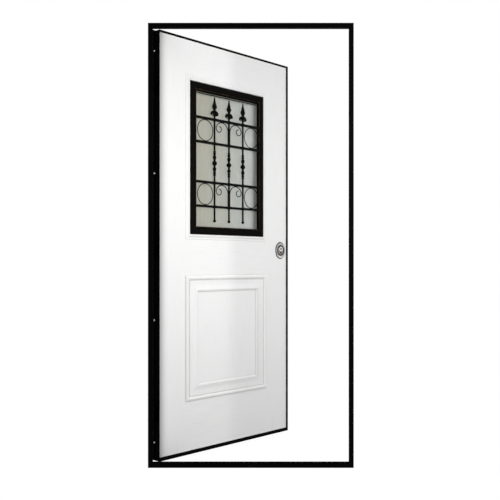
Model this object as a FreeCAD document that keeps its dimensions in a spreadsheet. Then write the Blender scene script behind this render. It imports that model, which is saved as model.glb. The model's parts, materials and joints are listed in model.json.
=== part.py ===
import FreeCAD, Part
import math
import os
import re

import Sketcher
from FreeCAD import Placement, Rotation, Vector

# Driving sizes
# Lengths are in millimetres and angles in degrees. Each name is a cell of the document's sheet.
SIZES = {
    # Frame
    "frame_width": 994,
    "frame_height": 2150,
    "frame_depth": 60,
    "frame_sheet": 1.5,
    "stop_sheet": 3,
    "jamb_face": 24,
    "head_face": 24,
    "sill_face": 30,
    "jamb_web": 8,
    "head_web": 12,
    "sill_web": 12,
    "gasket_width": 9,
    "gasket_depth": 13,
    "gasket_lip_inset": 2,
    # Anchor holes in each jamb, in two pairs about mid-height
    "anchor_radius": 5.5,
    "anchor_outer_spacing": 1500,
    "anchor_inner_spacing": 500,
    # Leaf
    "leaf_gap": 6,
    "leaf_thickness": 44,
    "rear_clearance": 5.5,
    "rear_lip": 6.5,
    "skin_sheet": 1.5,
    "edge_sheet": 1.5,
    "top_lip": 12,
    "lock_lip": 18,
    "bottom_lip": 20,
    "decor_shift": -11,
    # Hinges
    "open_angle": 46.7,
    "pivot_out": 6,
    "pivot_back": 9,
    "barrel_radius": 8,
    "knuckle_height": 62,
    "knuckle_gap": 0.3,
    "pin_radius": 5,
    "pin_clearance": 0.08,
    "pin_length": 48,
    "pin_chamfer": 1.5,
    "barrel_chamfer": 1.5,
    "frame_strap": 2.5,
    "bore_wall": 1,
    "leaf_strap_reach": 30,
    "hinge_low_inset": 242,
    "hinge_high_inset": 242,
    # Dog bolts on the hinge edge. The inner two stand at a share of the outer two's spacing
    "dog_radius": 4.5,
    "dog_reach": 11,
    "dog_chamfer": 1.5,
    "dog_hole_clearance": 1.5,
    "dog_from_rear": 15,
    "dog_low_inset": 91,
    "dog_high_inset": 102,
    "dog_share": 0.3125,
    # Window
    "window_drop": 604,
    "window_frame_width": 550,
    "window_frame_height": 781,
    "window_frame_face": 40,
    "window_frame_rise": 10,
    "window_bead": 8,
    "window_bead_arc": 4.5,
    "window_groove": 3.5,
    "window_frame_crown": 1,
    "window_frame_round": 7,
    "window_rebate": 10,
    "glass_clearance": 1,
    "glass_setback": 5,
    "glass_thickness": 24,
    "moulding_face": 26,
    "moulding_rise": 9,
    "moulding_crest_arc": 9.5,
    "moulding_cove_arc": 11,
    "moulding_step": 2.5,
    # Grille
    "picket_radius": 5,
    "picket_share": 0.227,
    "picket_head_gap": 22,
    "picket_foot_gap": 32.5,
    "picket_stand_off": 0.6,
    "foot_radius": 8,
    "knuckle_ball_radius": 13,
    "knuckle_neck_radius": 6,
    "big_bead_up": 31,
    "big_bead_half": 10,
    "big_bead_arc": 16,
    "mid_bead_up": 49,
    "mid_bead_half": 5,
    "mid_bead_arc": 7.25,
    "small_bead_up": 60,
    "small_bead_half": 4,
    "small_bead_arc": 6,
    "spear_share": 0.9,
    "spear_half_width": 15,
    "spear_arc": 150,
    "spear_thickness": 8,
    "rail_height": 12,
    "rail_depth": 12.5,
    "bay_pitch": 125,
    "bay_share": 0.4708,
    "bays_drop": 16.5,
    "ring_wire": 2,
    "scroll_wire": 2.25,
    "scroll_big": 45,
    "scroll_mid": 20,
    "scroll_small": 15,
    # Lower panel
    "panel_foot": 270,
    "panel_gap": 211.5,
    "panel_width": 604,
    "panel_edge": 1.5,
    "panel_bead": 22,
    "panel_bead_arc": 12,
    "panel_band": 46,
    "panel_band_rise": 3,
    "panel_inner_bead": 16,
    "panel_inner_arc": 9,
    "panel_inner_edge": 0.8,
    # Lock
    "lock_height": 1062.5,
    "lock_backset": 69,
    "escutcheon_width": 82,
    "escutcheon_height": 96,
    "escutcheon_rise": 10,
    "escutcheon_bevel": 6.5,
    "boss_groove_radius": 28,
    "boss_radius": 24.5,
    "boss_groove_depth": 3,
    "plug_radius": 5,
    "plug_clearance": 0.1,
    "plug_length": 30,
    "plug_rise": 8.5,
    "cylinder_radius": 8.5,
    "cylinder_tail": 33,
    "cylinder_tail_radius": 5,
    "cylinder_play": 0.3,
    "keyway_width": 1.6,
    "keyway_height": 7.5,
    "keyway_depth": 12,
    "faceplate_width": 24,
    "faceplate_height": 240,
    "faceplate_sheet": 3,
    "case_height": 170,
    "case_depth": 90,
    "case_thickness": 16,
    "bolt_radius": 8,
    "bolt_length": 50,
    "bolt_spacing": 30,
    "bolt_drop": 40,
    "bolt_inset": 0.5,
    "strike_clearance": 2,
}

# Places worked out from the sizes
LEAF_WIDTH = "(frame_width - 2 * jamb_web - 2 * leaf_gap)"
LEAF_BOTTOM = "(sill_web + leaf_gap)"
LEAF_TOP = "(frame_height - head_web - leaf_gap)"
LEAF_MIDDLE = f"(({LEAF_BOTTOM} + {LEAF_TOP}) / 2)"
PIVOT_X = f"(-{LEAF_WIDTH} / 2 - pivot_out)"
PIVOT_Y = "(frame_depth / 2 + rear_clearance + skin_sheet + pivot_back)"
# In the leaf's own frame X runs from hinge to lock, with zero at the window's centre line, Y runs
# from the outside face to the inside face, and Z is the height above the threshold's underside.
HINGE_EDGE = f"(-{LEAF_WIDTH} / 2 - decor_shift)"
LOCK_EDGE = f"({LEAF_WIDTH} / 2 - decor_shift)"
LEAF_ALONG = f"(pivot_out + {LEAF_WIDTH} / 2 + decor_shift)"
LEAF_DEEP = "(pivot_back + leaf_thickness)"
HINGES = {
    "bottom": f"({LEAF_BOTTOM} + hinge_low_inset)",
    "middle": LEAF_MIDDLE,
    "top": f"({LEAF_TOP} - hinge_high_inset)",
}
DOG_LOW = f"({LEAF_BOTTOM} + dog_low_inset)"
DOG_HIGH = f"({LEAF_TOP} - dog_high_inset)"
DOG_BOLTS = {
    "bottom": DOG_LOW,
    "lower_middle": f"({DOG_LOW} + ({DOG_HIGH} - {DOG_LOW}) * dog_share)",
    "upper_middle": f"({DOG_HIGH} - ({DOG_HIGH} - {DOG_LOW}) * dog_share)",
    "top": DOG_HIGH,
}
WINDOW_Z = f"({LEAF_TOP} - window_drop)"
OPENING_WIDE = "(window_frame_width - 2 * window_frame_face)"
OPENING_TALL = "(window_frame_height - 2 * window_frame_face)"
PANEL_LOW = f"({LEAF_BOTTOM} + panel_foot)"
PANEL_HIGH = f"({WINDOW_Z} - window_frame_height / 2 - panel_gap)"
PANEL_TALL = f"({PANEL_HIGH} - {PANEL_LOW})"
PANEL_Z = f"(({PANEL_HIGH} + {PANEL_LOW}) / 2)"
GRILLE_PLANE = "(glass_setback - picket_stand_off - knuckle_ball_radius)"
PICKET_SPACING = f"({OPENING_WIDE} * picket_share)"
PICKET_TOP = f"({WINDOW_Z} + {OPENING_TALL} / 2 - picket_head_gap)"
PICKET_BOTTOM = f"({WINDOW_Z} - {OPENING_TALL} / 2 + picket_foot_gap)"
BAYS_Z = f"({WINDOW_Z} - bays_drop)"
BAY_OFFSET = f"({OPENING_TALL} * bay_share)"
TOP_RAIL = f"({BAYS_Z} + {BAY_OFFSET} / 2 + bay_pitch / 2)"
SPEAR_LENGTH = f"(({PICKET_TOP} - {TOP_RAIL} - rail_height / 2) * spear_share)"
RING_RADIUS = "((bay_pitch - rail_height) / 2)"
KEY_X = f"({LOCK_EDGE} - lock_backset)"
KEY_Z = "(lock_height + plug_rise)"
# Where a scroll changes radius and where it ends, in degrees on its arcs
SCROLL_FIRST_TURN = 30
SCROLL_SECOND_TURN = -120
SCROLL_END = -270
# One side of a spear and its drooping leaves, from the tip down. The first number is a share of
# the spear's half width and the second a share of its length.
SPEAR_SIDE = (
    (1, 0.5),
    (0.62, 0.6),
    (0.34, 0.66),
    (0.5, 0.7),
    (1.15, 0.73),
    (1.7, 0.83),
    (1.68, 0.93),
    (1.4, 0.94),
    (1.25, 0.86),
    (0.8, 0.82),
    (0.6, 0.88),
    (0.34, 0.93),
    (0.34, 1),
)

doc = FreeCAD.newDocument("SecurityDoor")
parts = []


def sized(expression):
    """Turn the plain names in an expression into references to the sheet's cells."""
    return re.sub(r"[a-z_]+", lambda word: "Sizes." + word[0] if word[0] in SIZES else word[0], expression)


def value(expression):
    """Work an expression out now, as a sketch's starting shape or a Part shape's size."""
    return float(sheet.evalExpression(sized(expression)))


def fill_sheet():
    sheet = doc.addObject("Spreadsheet::Sheet", "Sizes")
    for row, (name, number) in enumerate(SIZES.items(), start=1):
        sheet.set(f"A{row}", name)
        sheet.set(f"B{row}", str(number))
        sheet.setAlias(f"B{row}", name)
    doc.recompute()
    return sheet


sheet = fill_sheet()


def bind(thing, **sizes):
    """Tie properties to sheet expressions. Double underscores in a name stand for dots."""
    for name, expression in sizes.items():
        thing.setExpression(name.replace("__", "."), sized(expression))


def finish(thing, name):
    """Label a finished sub-part and keep it for export."""
    thing.Label = name
    parts.append(thing)
    return thing


def hang(thing):
    """Place a sub-part that is drawn in the leaf's own frame, with the leaf standing open."""
    turn = "open_angle * 1deg"
    thing.Placement = Placement(Vector(0, 0, 0), Rotation(Vector(0, 0, 1), 1))
    bind(
        thing,
        Placement__Rotation__Angle=turn,
        Placement__Base__x=f"{PIVOT_X} + {LEAF_ALONG} * cos({turn}) + {LEAF_DEEP} * sin({turn})",
        Placement__Base__y=f"{PIVOT_Y} + {LEAF_ALONG} * sin({turn}) - {LEAF_DEEP} * cos({turn})",
    )
    return thing


def new_body(name):
    body = doc.addObject("PartDesign::Body", "Body_" + name)
    doc.recompute()
    return body


def plane_of(body, role):
    return next(feature for feature in body.Origin.OriginFeatures if feature.Role == role)


def new_sketch(body, role, lift="0"):
    """Add a sketch on one of the body's origin planes, lifted along that plane's normal."""
    sketch = body.newObject("Sketcher::SketchObject", "Sketch")
    sketch.AttachmentSupport = [(plane_of(body, role), "")]
    sketch.MapMode = "FlatFace"
    bind(sketch, AttachmentOffset__Base__z=lift)
    return sketch


def arc_between(start, end, radius):
    """An arc of at most half a turn, and which of its ends is the start. A positive radius bends
    it to the right of the way from start to end, a negative one to the left."""
    half = (end - start) * 0.5
    rise = math.sqrt(max(radius**2 - half.Length**2, 0))
    side = Vector(half.y, -half.x, 0).normalize()
    centre = start + half - side * math.copysign(rise, radius)
    first, last = (start, end) if radius > 0 else (end, start)
    first_angle = math.atan2(first.y - centre.y, first.x - centre.x)
    last_angle = math.atan2(last.y - centre.y, last.x - centre.x)
    if last_angle <= first_angle:
        last_angle += 2 * math.pi
    circle = Part.Circle(centre, Vector(0, 0, 1), abs(radius))
    return Part.ArcOfCircle(circle, first_angle, last_angle), (1, 2) if radius > 0 else (2, 1)


def draw(sketch, corners, closed=True):
    """Draw an outline through corners, each (across, up) in sheet expressions. A third value is
    the radius of the arc that leaves the corner."""
    points = [Vector(value(corner[0]), value(corner[1]), 0) for corner in corners]
    base = sketch.GeometryCount
    count = len(corners) if closed else len(corners) - 1
    ends = []
    rules = []
    formulas = []
    for index in range(count):
        start, end = points[index], points[(index + 1) % len(points)]
        if len(corners[index]) == 2:
            sketch.addGeometry(Part.LineSegment(start, end))
            ends.append((1, 2))
        else:
            arc, order = arc_between(start, end, value(corners[index][2]))
            sketch.addGeometry(arc)
            ends.append(order)
            rules.append(Sketcher.Constraint("Radius", base + index, abs(value(corners[index][2]))))
            formulas.append(f"abs({corners[index][2]})")
    for index in range(count if closed else count - 1):
        follower = (index + 1) % count
        here, there = ends[index][1], ends[follower][0]
        rules.append(Sketcher.Constraint("Coincident", base + index, here, base + follower, there))
        formulas.append(None)
    for index in range(len(corners)):
        line, end = (index, ends[index][0]) if index < count else (count - 1, ends[-1][1])
        for kind, number, formula in (
            ("DistanceX", points[index].x, corners[index][0]),
            ("DistanceY", points[index].y, corners[index][1]),
        ):
            rules.append(Sketcher.Constraint(kind, base + line, end, number))
            formulas.append(formula)
    fix(sketch, rules, formulas)


def fix(sketch, rules, formulas):
    """Add constraints to a sketch and tie each to its formula."""
    first = sketch.ConstraintCount
    sketch.addConstraint(rules)
    for offset, formula in enumerate(formulas):
        if formula is not None:
            sketch.setExpression(f"Constraints[{first + offset}]", sized(formula))


def rectangle(sketch, left, bottom, right, top):
    draw(sketch, [(left, bottom), (right, bottom), (right, top), (left, top)])


def circle(sketch, across, up, radius):
    centre = Vector(value(across), value(up), 0)
    line = sketch.addGeometry(Part.Circle(centre, Vector(0, 0, 1), value(radius)))
    rules = [
        Sketcher.Constraint("Radius", line, value(radius)),
        Sketcher.Constraint("DistanceX", line, 3, centre.x),
        Sketcher.Constraint("DistanceY", line, 3, centre.y),
    ]
    fix(sketch, rules, [radius, across, up])


def pad(body, sketch, length, kind="PartDesign::Pad", backwards=False, both=False):
    """Pad or pocket a sketch by a length, along its normal, against it or half each way."""
    feature = body.newObject(kind, kind.split("::")[1])
    feature.Profile = sketch
    feature.Reversed = backwards
    if both:
        feature.SideType = "Symmetric"
    bind(feature, Length=length)
    doc.recompute()
    return feature


def pocket(body, sketch, length, backwards=False, both=False):
    """Cut a sketch out of a body, and make sure that it did cut."""
    before = body.Shape.Volume
    feature = pad(body, sketch, length, "PartDesign::Pocket", backwards, both)
    if body.Shape.Volume >= before:
        raise RuntimeError(f"{body.Name}: {feature.Name} cuts nothing")
    return feature


def pipe(body, profile, spine):
    """Run a profile round a spine with mitred corners."""
    feature = body.newObject("PartDesign::AdditivePipe", "Pipe")
    feature.Profile = profile
    feature.Spine = (spine, [f"Edge{index + 1}" for index in range(spine.GeometryCount)])
    feature.Transition = "Right corner"
    doc.recompute()
    return feature


def spin(body, sketch, axis="V_Axis"):
    """Turn a profile round its sketch's upright axis, or round the axis line drawn in it."""
    feature = body.newObject("PartDesign::Revolution", "Revolution")
    feature.Profile = sketch
    feature.ReferenceAxis = (sketch, [axis])
    doc.recompute()
    return feature


def draw_axis(sketch, start, end):
    """Draw a construction line that a profile in the same sketch turns round."""
    line = sketch.GeometryCount
    draw(sketch, [start, end], closed=False)
    sketch.toggleConstruction(line)


# Frame

def make_jamb(name, side):
    """A jamb as tall as the frame. Side is -1 at the hinges and 1 at the lock."""
    body = new_body(name)
    section = new_sketch(body, "XY_Plane")
    outer = f"({side}) * frame_width / 2"
    web = f"({side}) * (frame_width / 2 - jamb_web)"
    lip = f"({side}) * (frame_width / 2 - jamb_face)"
    draw(
        section,
        [
            (outer, "-frame_depth / 2"),
            (lip, "-frame_depth / 2"),
            (lip, "stop_sheet - frame_depth / 2"),
            (web, "stop_sheet - frame_depth / 2"),
            (web, "frame_depth / 2"),
            (outer, "frame_depth / 2"),
        ],
    )
    hollow_outer = f"({side}) * (frame_width / 2 - frame_sheet)"
    hollow_web = f"({side}) * (frame_width / 2 - jamb_web + frame_sheet)"
    draw(
        section,
        [
            (hollow_outer, "stop_sheet - frame_depth / 2"),
            (hollow_web, "stop_sheet - frame_depth / 2"),
            (hollow_web, "frame_depth / 2 - frame_sheet"),
            (hollow_outer, "frame_depth / 2 - frame_sheet"),
        ],
    )
    pad(body, section, "frame_height")
    anchors = new_sketch(body, "YZ_Plane")
    for spacing in ("anchor_outer_spacing", "anchor_inner_spacing"):
        for way in (-1, 1):
            circle(anchors, "0", f"{LEAF_MIDDLE} + ({way}) * {spacing} / 2", "anchor_radius")
    pocket(body, anchors, "frame_width", backwards=side > 0)
    return body


def make_hinge_jamb():
    body = make_jamb("hinge_jamb", -1)
    keeps = new_sketch(body, "YZ_Plane", "jamb_web - frame_width / 2")
    radius = "dog_radius + dog_hole_clearance"
    depth = "frame_depth / 2 + rear_clearance + skin_sheet - dog_from_rear"
    for height in DOG_BOLTS.values():
        circle(keeps, depth, height, radius)
    pocket(body, keeps, "2 * frame_sheet")
    finish(body, "hinge_jamb")


def make_lock_jamb():
    body = make_jamb("lock_jamb", 1)
    window = new_sketch(body, "YZ_Plane", "frame_width / 2 - jamb_web")
    middle = "(frame_depth / 2 + rear_clearance + skin_sheet - leaf_thickness / 2)"
    rectangle(
        window,
        f"{middle} - faceplate_width / 2",
        "lock_height - faceplate_height / 2",
        f"{middle} + faceplate_width / 2",
        "lock_height + faceplate_height / 2",
    )
    pocket(body, window, "frame_sheet", backwards=True)
    finish(body, "lock_jamb")


def make_cross_member(name, outer, web, lip, sheet_way):
    """The head or the threshold, between the jambs. Sheet_way is 1 where the web's inner side is
    above its outer side."""
    body = new_body(name)
    reach = "(frame_width / 2 - jamb_web)"
    section = new_sketch(body, "YZ_Plane", f"-{reach}")
    draw(
        section,
        [
            ("-frame_depth / 2", outer),
            ("frame_depth / 2", outer),
            ("frame_depth / 2", web),
            ("stop_sheet - frame_depth / 2", web),
            ("stop_sheet - frame_depth / 2", lip),
            ("-frame_depth / 2", lip),
        ],
    )
    rectangle(
        section,
        "stop_sheet - frame_depth / 2",
        f"{outer} + ({sheet_way}) * frame_sheet",
        "frame_depth / 2 - frame_sheet",
        f"{web} - ({sheet_way}) * frame_sheet",
    )
    pad(body, section, f"2 * {reach}")
    ends = new_sketch(body, "XZ_Plane", "frame_depth / 2")
    for way in (-1, 1):
        rectangle(
            ends,
            f"({way}) * (frame_width / 2 - jamb_face)",
            outer,
            f"({way}) * {reach}",
            lip,
        )
    pocket(body, ends, "stop_sheet")
    finish(body, name)


def make_gasket():
    """One loop of seal behind the stop lip, with a rounded nose towards the leaf."""
    body = new_body("frame_gasket")
    spine = new_sketch(body, "XZ_Plane", "frame_depth / 2 - stop_sheet")
    side = "(frame_width / 2 - jamb_face + gasket_lip_inset)"
    bottom = "(sill_face - gasket_lip_inset)"
    rectangle(spine, f"-{side}", bottom, side, "frame_height - head_face + gasket_lip_inset")
    section = new_sketch(body, "YZ_Plane")
    back = "stop_sheet - frame_depth / 2"
    nose = f"{back} + gasket_depth - gasket_width / 2"
    draw(
        section,
        [
            (back, bottom),
            (back, f"{bottom} - gasket_width"),
            (nose, f"{bottom} - gasket_width", "gasket_width / 2"),
            (f"{nose} + gasket_width / 2", f"{bottom} - gasket_width / 2", "gasket_width / 2"),
            (nose, bottom),
        ],
    )
    doc.recompute()
    pipe(body, section, spine)
    finish(body, "frame_gasket")


def lock_bolt_heights():
    return [f"lock_height + ({step}) * bolt_spacing - bolt_drop" for step in (-1, 0, 1)]


def make_strike_plate():
    body = new_body("strike_plate")
    face = new_sketch(body, "YZ_Plane", "frame_width / 2 - jamb_web")
    middle = "(frame_depth / 2 + rear_clearance + skin_sheet - leaf_thickness / 2)"
    rectangle(
        face,
        f"{middle} - faceplate_width / 2",
        "lock_height - faceplate_height / 2",
        f"{middle} + faceplate_width / 2",
        "lock_height + faceplate_height / 2",
    )
    for height in lock_bolt_heights():
        circle(face, middle, height, "bolt_radius + strike_clearance")
    pad(body, face, "faceplate_sheet")
    finish(body, "strike_plate")


# Hinges

def make_frame_knuckle(name, height):
    """The lower barrel with its pin, on a strap that is welded to the jamb's inside edge."""
    body = new_body(name)
    barrel = new_sketch(body, "XY_Plane")
    circle(barrel, "0", "0", "barrel_radius")
    pad(body, barrel, "knuckle_height")
    strap = new_sketch(body, "XY_Plane")
    jamb_rear = f"frame_depth / 2 - {PIVOT_Y}"
    rectangle(strap, "-barrel_radius", jamb_rear, "frame_strap - barrel_radius", "0")
    pad(body, strap, "knuckle_height")
    pin = new_sketch(body, "XZ_Plane")
    draw(
        pin,
        [
            ("0", "0"),
            ("pin_radius", "0"),
            ("pin_radius", "knuckle_height + pin_length - pin_chamfer"),
            ("pin_radius - pin_chamfer", "knuckle_height + pin_length"),
            ("0", "knuckle_height + pin_length"),
        ],
    )
    spin(body, pin)
    bind(
        body,
        Placement__Base__x=PIVOT_X,
        Placement__Base__y=PIVOT_Y,
        Placement__Base__z=f"{height} - knuckle_height",
    )
    finish(body, name)


def make_leaf_knuckle(name, height):
    """The upper barrel, capped and bored for the pin, on a strap that lies on the leaf."""
    body = new_body(name)
    barrel = new_sketch(body, "XZ_Plane")
    bore = "(pin_radius + pin_clearance)"
    draw(
        barrel,
        [
            (bore, "0"),
            ("barrel_radius", "0"),
            ("barrel_radius", "knuckle_height - barrel_chamfer"),
            ("barrel_radius - barrel_chamfer", "knuckle_height"),
            ("0", "knuckle_height"),
            ("0", "pin_length + pin_chamfer"),
            (bore, "pin_length + pin_chamfer"),
        ],
    )
    spin(body, barrel)
    strap = new_sketch(body, "XY_Plane")
    rectangle(strap, "0", "-pivot_back", "leaf_strap_reach", "-pin_radius - pin_clearance - bore_wall")
    pad(body, strap, "knuckle_height")
    turn = "open_angle * 1deg"
    body.Placement = Placement(Vector(0, 0, 0), Rotation(Vector(0, 0, 1), 1))
    bind(
        body,
        Placement__Rotation__Angle=turn,
        Placement__Base__x=PIVOT_X,
        Placement__Base__y=PIVOT_Y,
        Placement__Base__z=f"{height} + knuckle_gap",
    )
    finish(body, name)


# Leaf

def loop(sketch, half_wide, half_tall, height, middle="0"):
    """A rectangle about the window's centre line."""
    rectangle(
        sketch,
        f"{middle} - ({half_wide})",
        f"{height} - ({half_tall})",
        f"{middle} + ({half_wide})",
        f"{height} + ({half_tall})",
    )


def cut_window(sketch):
    loop(sketch, f"{OPENING_WIDE} / 2 + window_rebate", f"{OPENING_TALL} / 2 + window_rebate", WINDOW_Z)


def frame_moulding(body, face, way):
    """A loop of white moulding round the window frame, on the skin's face."""
    spine = new_sketch(body, "XZ_Plane", f"-({face})")
    loop(spine, "window_frame_width / 2", "window_frame_height / 2", WINDOW_Z)
    section = new_sketch(body, "YZ_Plane")
    inner = f"({WINDOW_Z} - window_frame_height / 2)"

    def at(rise, share, *arc):
        return (f"({face}) + ({way}) * ({rise})", f"{inner} - moulding_face * {share}", *arc)

    draw(
        section,
        [
            at("-skin_sheet / 2", 0),
            at("moulding_rise / 3", 0, f"-({way}) * moulding_crest_arc"),
            at("moulding_rise", 0.3, f"-({way}) * moulding_crest_arc"),
            at("moulding_rise * 0.6", 0.5, f"({way}) * moulding_cove_arc"),
            at("moulding_step", 0.85),
            at("moulding_step", 0.94),
            at("moulding_step / 5", 1),
            at("-skin_sheet / 2", 1),
        ],
    )
    doc.recompute()
    pipe(body, section, spine)


def panel_moulding(body, face, way):
    """The lower panel's two round beads with the sloped band between them."""
    spine = new_sketch(body, "XZ_Plane", f"-({face})")
    loop(spine, "panel_width / 2", f"{PANEL_TALL} / 2", PANEL_Z)
    section = new_sketch(body, "YZ_Plane")

    def at(rise, inward, *arc):
        return (f"({face}) + ({way}) * ({rise})", f"{PANEL_LOW} + {inward}", *arc)

    draw(
        section,
        [
            at("-skin_sheet / 2", "0"),
            at("panel_edge", "0", f"({way}) * panel_bead_arc"),
            at("panel_edge", "panel_bead"),
            at("panel_band_rise", "panel_bead + panel_band", f"({way}) * panel_inner_arc"),
            at("panel_inner_edge", "panel_bead + panel_band + panel_inner_bead"),
            at("-skin_sheet / 2", "panel_bead + panel_band + panel_inner_bead"),
        ],
    )
    doc.recompute()
    pipe(body, section, spine)


def make_outer_skin():
    body = new_body("outer_skin")
    face = new_sketch(body, "XZ_Plane", "-skin_sheet")
    rectangle(
        face,
        f"{HINGE_EDGE} + edge_sheet",
        f"{LEAF_BOTTOM} + bottom_lip",
        f"{LOCK_EDGE} - lock_lip",
        f"{LEAF_TOP} - top_lip",
    )
    cut_window(face)
    cylinder_slot(face)
    pad(body, face, "skin_sheet")
    frame_moulding(body, "0", -1)
    panel_moulding(body, "0", -1)
    finish(hang(body), "outer_skin")


def make_inner_skin():
    body = new_body("inner_skin")
    face = new_sketch(body, "XZ_Plane", "-leaf_thickness")
    rectangle(
        face,
        f"{HINGE_EDGE} - rear_lip",
        LEAF_BOTTOM,
        f"{LOCK_EDGE} + rear_lip",
        f"{LEAF_TOP} + rear_lip",
    )
    cut_window(face)
    cylinder_slot(face)
    pad(body, face, "skin_sheet")
    frame_moulding(body, "leaf_thickness", 1)
    panel_moulding(body, "leaf_thickness", 1)
    finish(hang(body), "inner_skin")


def cylinder_slot(sketch, play="cylinder_play"):
    """The keyhole shape of a lock cylinder: a round barrel with a narrower tail below."""
    reach = f"sqrt((cylinder_radius + {play})^2 - (cylinder_tail_radius + {play})^2)"
    half = f"(cylinder_tail_radius + {play})"
    radius = f"(cylinder_radius + {play})"
    foot = f"{KEY_Z} - (cylinder_tail - cylinder_radius - cylinder_tail_radius)"
    draw(
        sketch,
        [
            (f"{KEY_X} + {half}", f"{KEY_Z} - {reach}", radius),
            (f"{KEY_X} + {radius}", KEY_Z, radius),
            (KEY_X, f"{KEY_Z} + {radius}", radius),
            (f"{KEY_X} - {radius}", KEY_Z, radius),
            (f"{KEY_X} - {half}", f"{KEY_Z} - {reach}"),
            (f"{KEY_X} - {half}", foot, half),
            (KEY_X, f"{foot} - {half}", half),
            (f"{KEY_X} + {half}", foot),
        ],
    )


def make_leaf_core():
    """The insulating core between the skins, with a pocket for the lock case."""
    body = new_body("leaf_core")
    face = new_sketch(body, "XZ_Plane", "skin_sheet - leaf_thickness")
    rectangle(
        face,
        f"{HINGE_EDGE} + edge_sheet",
        f"{LEAF_BOTTOM} + edge_sheet",
        f"{LOCK_EDGE} - edge_sheet",
        f"{LEAF_TOP} - edge_sheet",
    )
    cut_window(face)
    pad(body, face, "leaf_thickness - 2 * skin_sheet")
    case = new_sketch(body, "XZ_Plane", "-leaf_thickness / 2")
    rectangle(
        case,
        f"{LOCK_EDGE} - case_depth",
        "lock_height - case_height / 2",
        LOCK_EDGE,
        "lock_height + case_height / 2",
    )
    pocket(body, case, "case_thickness", both=True)
    plate = new_sketch(body, "XZ_Plane", "-leaf_thickness / 2")
    rectangle(
        plate,
        f"{LOCK_EDGE} - faceplate_sheet",
        "lock_height - faceplate_height / 2",
        LOCK_EDGE,
        "lock_height + faceplate_height / 2",
    )
    pocket(body, plate, "faceplate_width", both=True)
    barrel = new_sketch(body, "XZ_Plane")
    cylinder_slot(barrel)
    pocket(body, barrel, "leaf_thickness")
    finish(hang(body), "leaf_core")


def make_edge_upright(name, edge, way, lip, window=False):
    """An edge strip on the hinge or lock side, its lip folded over the outside face."""
    body = new_body(name)
    section = new_sketch(body, "XY_Plane", LEAF_BOTTOM)
    inner = f"{edge} + ({way}) * edge_sheet"
    far = f"{edge} + ({way}) * {lip}"
    rear = "leaf_thickness - skin_sheet"
    if lip == "edge_sheet":
        corners = [(edge, "0"), (inner, "0"), (inner, rear), (edge, rear)]
    else:
        corners = [
            (edge, "0"),
            (far, "0"),
            (far, "skin_sheet"),
            (inner, "skin_sheet"),
            (inner, rear),
            (edge, rear),
        ]
    draw(section, corners)
    pad(body, section, f"{LEAF_TOP} - {LEAF_BOTTOM}")
    if window:
        slot = new_sketch(body, "YZ_Plane", f"{edge} + ({way}) * edge_sheet")
        rectangle(
            slot,
            "leaf_thickness / 2 - faceplate_width / 2",
            "lock_height - faceplate_height / 2",
            "leaf_thickness / 2 + faceplate_width / 2",
            "lock_height + faceplate_height / 2",
        )
        pocket(body, slot, "edge_sheet", backwards=way < 0)
    finish(hang(body), name)


def make_edge_rail(name, edge, way, lip):
    """An edge strip along the top or bottom, between the two uprights."""
    body = new_body(name)
    start = f"({HINGE_EDGE} + edge_sheet)"
    section = new_sketch(body, "YZ_Plane", start)
    inner = f"{edge} + ({way}) * edge_sheet"
    far = f"{edge} + ({way}) * {lip}"
    rear = "leaf_thickness - skin_sheet"
    draw(
        section,
        [
            ("0", edge),
            (rear, edge),
            (rear, inner),
            ("skin_sheet", inner),
            ("skin_sheet", far),
            ("0", far),
        ],
    )
    pad(body, section, f"{LOCK_EDGE} - edge_sheet - {start}")
    corner = new_sketch(body, "XZ_Plane")
    rectangle(corner, f"{LOCK_EDGE} - lock_lip", edge, f"{LOCK_EDGE} - edge_sheet", far)
    pocket(body, corner, "skin_sheet")
    finish(hang(body), name)


def make_dog_bolt(name, height):
    """A fixed steel stud that enters the jamb as the door shuts."""
    body = new_body(name)
    stud = new_sketch(body, "XZ_Plane", "dog_from_rear - leaf_thickness")
    draw(
        stud,
        [
            (HINGE_EDGE, height),
            (f"{HINGE_EDGE} - dog_reach", height),
            (f"{HINGE_EDGE} - dog_reach", f"{height} + dog_radius - dog_chamfer"),
            (f"{HINGE_EDGE} - dog_reach + dog_chamfer", f"{height} + dog_radius"),
            (HINGE_EDGE, f"{height} + dog_radius"),
        ],
    )
    draw_axis(stud, (HINGE_EDGE, height), (f"{HINGE_EDGE} - dog_reach", height))
    spin(body, stud, "Axis0")
    finish(hang(body), name)


def make_glass():
    body = new_body("glass_pane")
    pane = new_sketch(body, "XZ_Plane", "-glass_setback")
    loop(
        pane,
        f"{OPENING_WIDE} / 2 + window_rebate - glass_clearance",
        f"{OPENING_TALL} / 2 + window_rebate - glass_clearance",
        WINDOW_Z,
    )
    pad(body, pane, "glass_thickness", backwards=True)
    finish(hang(body), "glass_pane")


def make_window_frame(name, face, way, tongue):
    """A moulded frame that covers the cut edge of the skin, with a tongue down to the glass."""
    body = new_body(name)
    spine = new_sketch(body, "XZ_Plane", f"-({face})")
    loop(spine, f"{OPENING_WIDE} / 2", f"{OPENING_TALL} / 2", WINDOW_Z)
    section = new_sketch(body, "YZ_Plane")
    edge = f"({WINDOW_Z} - {OPENING_TALL} / 2)"
    outer = "window_frame_face"
    shoulder = "window_frame_rise - window_frame_crown"

    def at(rise, out, *arc):
        return (f"({face}) + ({way}) * ({rise})", f"{edge} - ({out})", *arc)

    draw(
        section,
        [
            (tongue, edge),
            at(f"{shoulder} - window_frame_crown", "0", f"-({way}) * window_bead_arc"),
            at(f"{shoulder} - window_frame_crown", "window_bead"),
            at("window_frame_rise - window_groove", "window_bead + window_frame_crown"),
            at(shoulder, "window_bead + window_groove"),
            at(shoulder, f"{outer} - window_frame_round", f"-({way}) * window_frame_round"),
            at(f"{shoulder} - window_frame_round", outer),
            at("0", outer),
            at("0", "window_rebate"),
            (tongue, f"{edge} - window_rebate"),
        ],
    )
    doc.recompute()
    pipe(body, section, spine)
    finish(hang(body), name)


# Grille

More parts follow.
